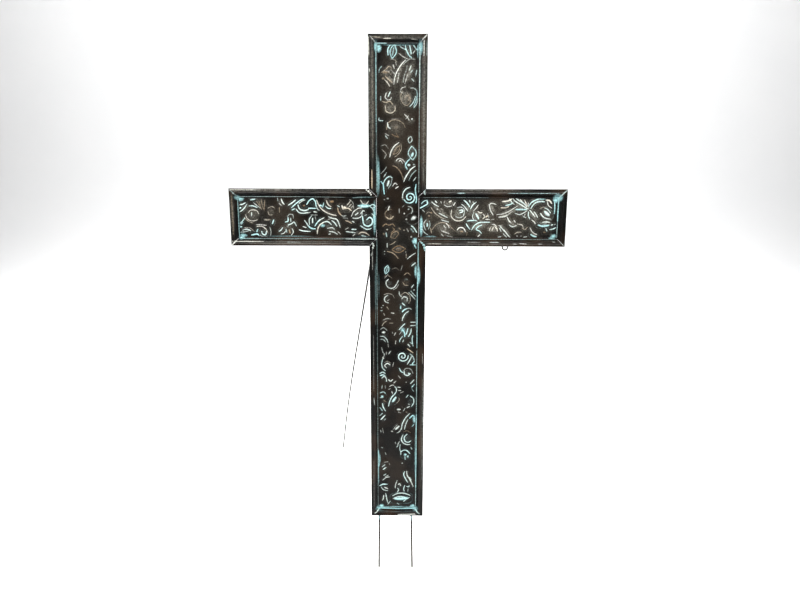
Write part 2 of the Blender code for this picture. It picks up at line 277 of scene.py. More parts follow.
def smooth_line(points, per_span=8):
    """A curve through the points: each span is a cubic whose end slopes are half the chord
    between the point's neighbours. Two points stay a straight line."""
    points = np.asarray(points, float)
    if len(points) < 3:
        return points
    padded = np.concatenate([2 * points[:1] - points[1:2], points, 2 * points[-1:] - points[-2:-1]])
    a, b, c, d = (padded[i:len(padded) - 3 + i][:, None, :] for i in range(4))
    t = (np.arange(per_span) / per_span)[None, :, None]
    spans = b + 0.5 * t * (c - a + t * (2 * a - 5 * b + 4 * c - d + t * (3 * (b - c) + d - a)))
    return np.concatenate([spans.reshape(-1, points.shape[1]), points[-1:]])


def distance_to_line(points, line):
    """Each point's distance to a polyline, and how far along the line the nearest place is.

    The foot of the perpendicular on each segment is held between the segment's ends, and the
    nearest foot counts. The second value runs from 0 at the line's start to 1 at its end.
    """
    start, run = line[:-1], np.diff(line, axis=0)
    length = np.linalg.norm(run, axis=1)
    passed = np.concatenate([[0], np.cumsum(length)])
    from_start = points[:, None, :] - start[None]
    share = np.clip((from_start * run).sum(-1) / np.maximum(length ** 2, 1e-9), 0, 1)
    gap = np.linalg.norm(from_start - share[..., None] * run, axis=-1)
    best = gap.argmin(axis=1)
    rows = np.arange(len(points))
    along = (passed[best] + share[rows, best] * length[best]) / passed[-1]
    return gap[rows, best], along


def lay_strokes(x, h, strokes):
    """Relief, paint with its painted highlight, and tint that a list of brush-like strokes gives at
    points in millimetres.

    A stroke is (tint, strength, width, x, h, x, h, ...). At distance d from its smooth line
    the ridge is exp(-(d / w)^2), w being half its width, narrowed towards both ends. Paint is
    its strength times the ridge raised to PAINT_EDGE, which keeps it to the top of the ridge; it
    stands for silver rubbed on the ridge and for a painted highlight along its top together. A
    lower and fainter ridge runs on each side, BESIDE_GAP widths away, with a faint painted
    highlight on it. Where strokes cross, the strongest counts and gives its own tint.
    """
    relief, paint_and_highlight, tint = np.zeros_like(x), np.zeros_like(x), np.zeros_like(x)
    for shade, strength, width, *places in strokes:
        line = smooth_line(np.reshape(places, (-1, 2)))
        low, high = line.min(axis=0) - 1.3 * width, line.max(axis=0) + 1.3 * width
        near = (x > low[0]) & (x < high[0]) & (h > low[1]) & (h < high[1])
        if not near.any():
            continue
        gap, along = distance_to_line(np.stack([x[near], h[near]], axis=-1), line)
        half = width / 2 * (0.6 + 0.4 * np.sqrt(np.sin(math.pi * np.clip(along, 0.02, 0.98))))
        ridge = np.exp(-(gap / half) ** 2)
        beside = np.exp(-((gap - BESIDE_GAP * width) / (0.7 * half)) ** 2)
        laid = strength * np.maximum(ridge ** PAINT_EDGE, BESIDE_PAINTED_HIGHLIGHT * beside ** PAINT_EDGE)
        stronger = laid > paint_and_highlight[near]
        raised = np.maximum(ridge, BESIDE_RISE * beside) * min(1.0, width / 2.4)
        relief[near] = np.maximum(relief[near], raised)
        paint_and_highlight[near] = np.where(stronger, laid, paint_and_highlight[near])
        tint[near] = np.where(stronger, shade, tint[near])
    return relief, paint_and_highlight, tint


def soft_ovals(x, h, ovals):
    """The strongest of a list of soft ovals (strength, x, h, half length, half height): each is
    its strength times (1 - r^2), r being the oval's own radius at the point."""
    made = np.zeros_like(x)
    for strength, oval_x, oval_h, half_x, half_h in ovals:
        r = ((x - oval_x) / half_x) ** 2 + ((h - oval_h) / half_h) ** 2
        made = np.maximum(made, strength * np.clip(1 - r, 0, 1))
    return made


def slow_waves(along, seed, longest):
    """A sum of five sines, each about 1.7 times as fast as the last, with seeded phases."""
    rng = np.random.default_rng(seed)
    made = np.zeros_like(along)
    for i in range(5):
        made += np.sin(2 * math.pi * along / longest * 1.7 ** i + rng.uniform(0, 6.28)) / 1.4 ** i
    return made / 2.4


def set_value(mesh, name, values):
    """One number for each point of the mesh, to be read by its material."""
    attribute = mesh.attributes.new(name, "FLOAT", "POINT")
    attribute.data.foreach_set("value", np.ascontiguousarray(values, dtype=np.float32).ravel())


def add_node(tree, kind, inputs=(), **settings):
    """A node of that kind, its settings made by name and its inputs from (socket, value) pairs;
    a value that is another node's socket is linked."""
    node = tree.nodes.new(kind)
    for name, value in settings.items():
        setattr(node, name, value)
    for socket, value in inputs:
        if isinstance(value, bpy.types.NodeSocket):
            tree.links.new(value, node.inputs[socket])
        else:
            node.inputs[socket].default_value = value
    return node


def paint_and_painted_light_group():
    """Shader node group: dark enamel with rubbed paint, painted highlights and painted sheen on it.

    Ground is mixed from two colours by a slow noise. A lighter brown-grey is laid over it as
    painted sheen, a reflection of the bright room, and as bare worn steel at the rods' cut ends.
    The paint, which carries the painted highlights, covers it where its value is above a threshold
    that a fine noise shifts, so that its edges are broken as if by a dry brush. Tint chooses its
    colour, from bronze at -1 through silver at 0 to turquoise at 1.
    """
    tree = bpy.data.node_groups.new("paint_and_painted_light", "ShaderNodeTree")
    for name, kind in (
        ("Ground", "NodeSocketColor"),
        ("Brown", "NodeSocketColor"),
        ("Paint", "NodeSocketFloat"),
        ("Tint", "NodeSocketFloat"),
        ("SheenAndWear", "NodeSocketFloat"),
        ("Gloss", "NodeSocketFloat"),
    ):
        tree.interface.new_socket(name, in_out="INPUT", socket_type=kind)
    for name, kind in (
        ("Color", "NodeSocketColor"),
        ("Roughness", "NodeSocketFloat"),
        ("Metallic", "NodeSocketFloat"),
        ("Height", "NodeSocketFloat"),
    ):
        tree.interface.new_socket(name, in_out="OUTPUT", socket_type=kind)
    given = add_node(tree, "NodeGroupInput").outputs
    where = add_node(tree, "ShaderNodeTexCoord").outputs["Object"]

    def noise(scale, detail):
        inputs = [("Vector", where), ("Scale", scale), ("Detail", detail)]
        return add_node(tree, "ShaderNodeTexNoise", inputs).outputs["Fac"]

    def blend(factor, a, b):
        inputs = [("Factor", factor), ("A", a), ("B", b)]
        node = add_node(tree, "ShaderNodeMix", inputs, data_type="RGBA")
        return node.outputs["Result"]

    def spread(value, low, high, to_low=0.0, to_high=1.0):
        inputs = [("Value", value), ("From Min", low), ("From Max", high)]
        inputs += [("To Min", to_low), ("To Max", to_high)]
        node = add_node(tree, "ShaderNodeMapRange", inputs, interpolation_type="SMOOTHSTEP")
        return node.outputs["Result"]

    def sums(operation, a, b):
        return add_node(tree, "ShaderNodeMath", [(0, a), (1, b)], operation=operation).outputs[0]

    slow, broken, fine = noise(16.0, 3.0), noise(420.0, 3.0), noise(2600.0, 2.0)
    ground = blend(spread(slow, 0.42, 0.66), given["Ground"], given["Brown"])
    # Painted sheen, and bare worn steel on the rods: the ground is lightened towards a brown-grey.
    sheen_and_wear = sums("MULTIPLY", given["SheenAndWear"], spread(broken, 0.30, 0.70, 0.25, 1.30))
    ground = blend(sheen_and_wear, ground, (0.20, 0.19, 0.16, 1.0))
    # Rubbed paint with its painted highlights, its edges broken by a fine noise.
    broken_paint_and_highlight = sums("MULTIPLY", given["Paint"], spread(broken, 0.30, 0.70, 0.66, 1.20))
    cover = spread(broken_paint_and_highlight, 0.06, 0.95)
    ramp = add_node(tree, "ShaderNodeValToRGB", [("Fac", spread(given["Tint"], -1.0, 1.0))])
    stops = (
        (0.0, (0.24, 0.14, 0.06, 1)),
        (0.30, (0.56, 0.47, 0.34, 1)),
        (0.50, (0.72, 0.74, 0.68, 1)),
        (0.75, (0.58, 0.80, 0.78, 1)),
        (1.0, (0.36, 0.72, 0.76, 1)),
    )
    while len(ramp.color_ramp.elements) < len(stops):
        ramp.color_ramp.elements.new(0.5)
    for element, (position, color) in zip(ramp.color_ramp.elements, stops):
        element.position = position
        element.color = color
    color = blend(cover, ground, ramp.outputs["Color"])
    roughness = add_node(
        tree,
        "ShaderNodeMix",
        [("Factor", cover), ("A", given["Gloss"]), ("B", 0.52)],
    ).outputs["Result"]
    roughness = sums("ADD", roughness, spread(fine, 0.3, 0.7, -0.05, 0.05))
    metallic = sums("MULTIPLY", cover, 0.20)
    height = sums("ADD", sums("MULTIPLY", cover, 0.5), sums("MULTIPLY", fine, 0.35))
    done = add_node(tree, "NodeGroupOutput")
    for name, value in (
        ("Color", color),
        ("Roughness", roughness),
        ("Metallic", metallic),
        ("Height", height),
    ):
        tree.links.new(value, done.inputs[name])
    return tree


paint_and_painted_light = paint_and_painted_light_group()


def enamel_material(name, ground, brown, gloss):
    """Glossy enamel whose paint and painted highlights, tint, and painted sheen and wear come from the
    piece's own point values.
    """
    material = bpy.data.materials.new(name)
    material.use_nodes = True
    tree = material.node_tree
    shader = tree.nodes["Principled BSDF"]
    shader.inputs["Specular IOR Level"].default_value = 0.14
    paint_and_highlight = add_node(tree, "ShaderNodeGroup", node_tree=paint_and_painted_light)
    paint_and_highlight.inputs["Ground"].default_value = (*ground, 1.0)
    paint_and_highlight.inputs["Brown"].default_value = (*brown, 1.0)
    paint_and_highlight.inputs["Gloss"].default_value = gloss
    for socket, value in (("Paint", "paint_and_highlight"), ("Tint", "tint"), ("SheenAndWear", "sheen_and_wear")):
        point_value = add_node(tree, "ShaderNodeAttribute", attribute_name=value)
        tree.links.new(point_value.outputs["Fac"], paint_and_highlight.inputs[socket])
    bump = add_node(tree, "ShaderNodeBump", [("Height", paint_and_highlight.outputs["Height"])])
    bump.inputs["Strength"].default_value = 0.30
    bump.inputs["Distance"].default_value = 0.0004
    tree.links.new(paint_and_highlight.outputs["Color"], shader.inputs["Base Color"])
    tree.links.new(paint_and_highlight.outputs["Roughness"], shader.inputs["Roughness"])
    tree.links.new(paint_and_highlight.outputs["Metallic"], shader.inputs["Metallic"])
    tree.links.new(bump.outputs["Normal"], shader.inputs["Normal"])
    return material


def turned_outwards(points, faces):
    """The faces, all reversed if the volume that they enclose comes out negative. The volume is
    a sixth of the sum, over the fans of each face, of corner dot (corner cross corner)."""
    corners = np.asarray(points).reshape(-1, 3)
    quads = np.array([face[:4] for face in faces])
    a, b, c, d = (corners[quads[:, i]] for i in range(4))
    volume = (a * np.cross(b, c)).sum() + (a * np.cross(c, d)).sum()
    return faces if volume > 0 else [face[::-1] for face in faces]


def finished_piece(name, points, faces, material, slot, *nodes):
    """A closed piece that stands for CAD nodes, if any are named, and rides with the cross."""
    piece = make_mesh(name, points, turned_outwards(points, faces), material)
    if nodes:
        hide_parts(*nodes)
    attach(piece, "root")
    return piece


def set_back(line, thickness):
    """The line moved sideways by the thickness, towards the left of its own direction."""
    way = np.gradient(line, axis=0)
    way /= np.linalg.norm(way, axis=1, keepdims=True)
    return line + thickness * np.stack([-way[:, 1], way[:, 0]], axis=-1)


def rail_corners():
    """The outline's twelve corners, anticlockwise from the bottom left, as x and height."""
    wide, narrow = HALF_SPAN, HALF_LIMB
    right = [(narrow, 0), (narrow, LOWER_LIMB), (wide, LOWER_LIMB)]
    right += [(wide, ARM_TOP), (narrow, ARM_TOP), (narrow, HEIGHT)]
    left = [(-x, h) for x, h in right[::-1]]
    return np.array([left[-1]] + right + left[:-1], float)


RAIL_NAMES = (
    "bottom_end_rail",
    "lower_right_post_rail",
    "right_arm_bottom_rail",
    "right_end_rail",
    "right_arm_top_rail",
    "upper_right_post_rail",
    "top_end_rail",
    "upper_left_post_rail",
    "left_arm_top_rail",
    "left_end_rail",
    "left_arm_bottom_rail",
    "lower_left_post_rail",
)

# Paint rubbed on the moulding, with painted highlights along its crests and rim beads: tint,
# strength, width, then the places it runs through.
RAIL_STROKES = (
    # lips, round the panels
    (0.6, 0.85, 2.2, -38, 889, -38, 800), (0.55, 0.65, 2.0, -38, 815, -38, 745),
    (0.4, 0.45, 2.0, -38, 750, -38, 640), (0.45, 0.50, 2.0, -38, 555, -38, 395),
    (0.35, 0.42, 2.0, -38, 410, -38, 20), (0.5, 0.35, 1.8, -41, 510, -41, 395),
    (0.7, 0.80, 2.6, -37, 140, -36, 105), (0.7, 0.60, 2.2, -37, 110, -37, 70),
    (0.25, 0.95, 2.4, 38, 889, 38, 790), (0.3, 0.60, 1.9, 38, 800, 38, 640),
    (0.7, 0.85, 2.4, 38, 550, 38, 470), (0.65, 0.80, 2.2, 37, 480, 37, 350),
    (0.45, 0.60, 1.9, 37, 345, 37, 215), (0.7, 0.85, 2.5, 37, 215, 37, 60),
    (0.4, 0.60, 1.9, 37, 65, 37, 20), (0.8, 1.0, 3.4, -38, 15, 0, 14, 38, 15),
    (0.6, 0.80, 2.2, -38, 893, -20, 893), (0.5, 0.30, 1.8, -20, 893, 38, 893),
    (0.3, 0.50, 1.9, -290, 633, -170, 633), (0.3, 0.40, 1.8, -170, 633, -95, 632),
    (0.45, 0.55, 2.2, -82, 631, -62, 632), (0.3, 0.35, 1.8, 45, 632, 165, 632),
    (0.6, 0.55, 2.4, -290, 630, -290, 560), (0.5, 0.70, 2.2, -288, 557, -250, 557),
    (0.35, 0.50, 2.2, -255, 557, -130, 557), (0.2, 0.85, 2.2, -95, 557, -38, 557),
    (0.3, 0.45, 2.0, -130, 557, -90, 557), (0.3, 0.42, 1.9, 42, 557, 290, 557),
    (0.7, 0.85, 2.6, 290, 630, 290, 590), (0.4, 0.55, 2.0, 290, 590, 290, 560),
    # crests and rim beads: silver rubbed on them, with painted highlights along them
    (-0.05, 0.90, 2.2, -50.5, 902, -50, 872), (0.0, 0.38, 1.8, -50, 875, -50, 762),
    (0.0, 0.85, 2.4, -49, 851, -49, 847), (-0.3, 0.28, 2.4, -44, 890, -44, 700),
    (-0.35, 0.90, 3.0, -46, 680, -46, 648), (0.05, 0.80, 2.0, 45, 897, 45, 872),
    (0.25, 0.45, 2.2, 50, 896, 50, 872), (0.0, 0.30, 1.8, 46, 870, 46, 660),
    (-0.05, 0.85, 2.2, -303, 645, -250, 645), (-0.1, 0.50, 1.9, -255, 645, -190, 645),
    (0.0, 0.25, 1.8, -190, 645, -70, 645), (0.0, 0.25, 1.8, 55, 645, 200, 645),
    (0.5, 0.45, 1.7, 197, 640, 288, 640), (-0.45, 0.40, 3.4, -300, 635, -300, 565),
    (-0.05, 0.95, 2.0, -303, 552, -245, 552), (0.1, 0.50, 2.6, -202, 551, -178, 551),
    (0.0, 0.30, 1.8, -245, 552, -60, 552), (-0.1, 0.60, 1.8, 54, 549, 80, 549),
    (0.0, 0.50, 1.8, 126, 552, 150, 552), (0.1, 0.75, 2.0, 168, 552, 184, 552),
    (0.0, 0.60, 1.8, 211, 549, 218, 549), (0.0, 0.65, 1.8, 222, 550, 236, 549),
    (0.0, 0.50, 1.8, 256, 549, 264, 549), (0.1, 0.70, 1.9, 282, 553, 286, 553),
    (0.4, 0.60, 1.8, 108, 640, 120, 640), (0.0, 0.85, 2.4, 2, 3, 36, 4),
    (0.0, 0.50, 1.8, -46, 538, -46, 500), (0.1, 0.75, 2.2, -48, 530, -48, 527),
    (0.0, 0.38, 1.7, -45, 375, -45, 265), (0.1, 0.60, 2.2, -45, 250, -44, 238),
    (0.0, 0.42, 1.9, 48, 340, 48, 320), (0.1, 0.30, 2.2, 49, 290, 49, 80),
    (-0.1, 0.80, 2.0, -24, 900, -12, 900), (-0.2, 0.50, 2.2, -46, 903, -30, 902),
    (-0.1, 0.55, 1.9, 22, 899, 34, 898), (0.0, 0.32, 1.7, -46, 120, -46, 20),
    # mitres
    (0.0, 0.95, 1.9, -304, 545, -292, 556), (0.2, 0.85, 2.0, 290, 632, 304, 646),
    (0.1, 0.95, 2.0, -44, 5, -36, 14), (0.3, 0.95, 2.4, 36, 14, 45, 3),
    (0.0, 0.85, 2.0, 40, 895, 50, 906), (0.0, 0.60, 1.8, -40, 896, -51, 906),
    (0.3, 0.50, 1.8, -291, 634, -304, 646), (0.1, 0.40, 1.8, 292, 556, 304, 545),
)
RAIL_WASHES = (
    (0.70, -38, 888, 4, 12), (0.65, 39, 886, 5, 16), (0.6, -290, 631, 7, 6), (0.75, 288, 632, 10, 9),
    (0.6, -286, 559, 8, 5), (0.55, 281, 560, 8, 4), (0.50, -36, 670, 3, 45), (0.6, -36, 16, 9, 6),
    (0.6, 36, 15, 7, 6), (0.65, 39, 490, 4, 22), (0.25, -40, 470, 3, 60), (0.3, -60, 632, 24, 3),
)
WASH_TINT = 0.7
# Painted sheen on the moulding: its ground lighter where it reflects the bright room.
RAIL_PAINTED_SHEEN = (
    (0.32, -45, 800, 7, 120), (0.34, 46, 790, 7, 130), (0.30, -300, 600, 5, 45),
    (0.26, -230, 644, 90, 4),
    (0.22, 150, 644, 110, 4), (0.28, 0, 903, 60, 5), (0.24, -200, 549, 110, 4), (0.14, 48, 180, 5, 140),
    (0.25, 48, 690, 7, 50), (0.22, -100, 642, 60, 4), (0.16, 150, 549, 110, 4),
)

rail_paint = enamel_material("rail_enamel", (0.0035, 0.0033, 0.0030), (0.020, 0.012, 0.007), 0.24)
rail_line = smooth_line(MOULDING_LINE, 2) * MM + [RIM_INSET, 0]
rail_section = np.concatenate([rail_line, set_back(rail_line, SHEET)[::-1]])
corners = rail_corners()


def paint_and_light_values(mesh, x, h, laid, washes, sheen_and_wear, caught):
    """Sets a piece's paint with its painted highlights, tint, and painted sheen at points given in
    metres. Laid is what lay_strokes gave there; where a wash is stronger than the strokes, its own
    tint counts. Caught is how much of the painted sheen that place takes, nought where the brush
    didn't reach."""
    x, h = np.ravel(x) / MM, np.ravel(h) / MM
    paint_and_highlight, tint = laid[1:]
    wash = soft_ovals(x, h, washes)
    set_value(mesh, "paint_and_highlight", np.maximum(paint_and_highlight, wash) * (caught > 0))
    set_value(mesh, "tint", np.where(wash > paint_and_highlight, WASH_TINT, tint))
    set_value(mesh, "sheen_and_wear", soft_ovals(x, h, sheen_and_wear) * caught)


def make_rail(name, index):
    """One length of moulding, its section carried from one mitre to the next.

    A point of the section that is s in from the outline starts at the corner plus s times the
    sum of the two sides' inward normals, and runs straight to the same place at the other end.
    Slow waves move it back and in by a fraction of a millimetre, and fade out at the mitres.
    """
    start, end = corners[index], corners[(index + 1) % len(corners)]
    sides = [start - corners[index - 1], end - start, corners[(index + 2) % len(corners)] - end]
    ways = [side / np.linalg.norm(side) for side in sides]
    inward = [np.array([-way[1], way[0]]) for way in ways]
    length = np.linalg.norm(end - start)
    count = max(12, round(length / RAIL_STEP))
    share = np.linspace(0, 1, count)[:, None, None]
    s = rail_section[:, :1]
    first = start + (inward[0] + inward[1]) * s + ways[1] * MITRE_SETBACK
    last = end + (inward[1] + inward[2]) * s - ways[1] * MITRE_SETBACK
    place = first + share * (last - first)
    along = place @ ways[1]
    fade = np.sqrt(np.sin(math.pi * share[..., 0]))
    place = place + inward[1] * (RAIL_WAVE * fade * (1 + slow_waves(along, index, 0.21)))[..., None]
    ripple = RAIL_WAVE * fade * (1 + slow_waves(along + 0.3 * s[:, 0], index + 50, 0.13))
    back = rail_section[:, 1] + ripple
    points = stand(place[..., 0], back, place[..., 1])

    around = len(rail_section)
    faces = quads_over(count, around, wrap=True).tolist()
    half = around // 2
    i = np.arange(half - 1)
    cap = np.stack([i + 1, i, around - 1 - i, around - 2 - i], axis=-1)
    faces += cap.tolist() + (cap[:, ::-1] + (count - 1) * around).tolist()
    rail = finished_piece("folded_" + name, points, faces, rail_paint, "moulding", name)
    front = np.broadcast_to(np.arange(around) < half, place.shape[:2]).ravel()
    x, h = place[..., 0].ravel(), place[..., 1].ravel()
    laid = lay_strokes(x / MM, h / MM, RAIL_STROKES)
    paint_and_light_values(rail.data, x, h, laid, RAIL_WASHES, RAIL_PAINTED_SHEEN, front)
    return rail


for index, name in enumerate(RAIL_NAMES):
    make_rail(name, index)

# Panels: three strips of thin steel sheet, pressed from behind into scrolls, leaves and beads.
# The post's strip runs through the crossing, the arms' strips butt against it with a turned
# edge. The same enamel, with silver and turquoise rubbed over the pressed ridges, painted
# highlights along their tops, and a painted sheen that is lighter on the raised forms.

PANEL_FACE = 0.0069
PANEL_MARGIN = 0.0135
PANEL_LAP = 0.0030
PANEL_SHEET = 0.0008
PANEL_GAP = 0.0003
PANEL_WAVE = 0.00012
POST_CELL = 0.00093
ARM_CELL = 0.0007
RIDGE_RISE = 0.0012
FORM_RISE = 0.0012
# Painted light on the broad pressed forms: a faint lightening of their tops.
FORM_PAINTED_LIGHT = 0.16
# Share of the painted sheen that the flat ground takes; raised forms and ridges take more.
FLAT_SHEEN_SHARE = 0.30
TURNED_WIDTH = 0.0011
TURNED_RISE = 0.0011


def scroll(tint, strength, width, x, h, radius, turns, start):
    """A spiral as one stroke: it starts at the angle start, in degrees, and its radius shrinks
    evenly to an eighth while it turns, anticlockwise if turns is positive."""
    share = np.linspace(0, 1, 8 + round(6 * abs(turns)))
    angle = math.radians(start) + 2 * math.pi * turns * share
    reach = radius * (1 - 0.875 * share)
    places = np.stack([x + reach * np.cos(angle), h + reach * np.sin(angle)], axis=-1)
    return tint, strength, width, *places.ravel()


def bead(tint, strength, x, h, length, width, turn=0):
    """An oval bead as one short wide stroke along its length."""
    reach = max(0.3, (length - width) / 2)
    way_x, way_h = reach * math.cos(math.radians(turn)), reach * math.sin(math.radians(turn))
    return tint, strength, width, x - way_x, h - way_h, x + way_x, h + way_h


def leaf(tint, strength, x, h, length, width, turn, vein=0.0):
    """A pointed leaf as strokes: its two bowed sides, each a half sine of half the width, and a
    straight vein where vein, its strength, isn't zero."""
    turned = np.array([[math.cos(math.radians(turn)), math.sin(math.radians(turn))],
                       [-math.sin(math.radians(turn)), math.cos(math.radians(turn))]])
    u = np.linspace(-0.5, 0.5, 7)
    strokes = []
    for side in (-0.5, 0.5):
        places = np.stack([length * u, side * width * np.cos(math.pi * u)], axis=-1) @ turned
        strokes.append((tint, strength, 2.2, *(places + [x, h]).ravel()))
    if vein:
        places = np.array([[-0.3 * length, 0], [0.3 * length, 0]]) @ turned
        strokes.append((tint, vein, 1.8, *(places + [x, h]).ravel()))
    return strokes
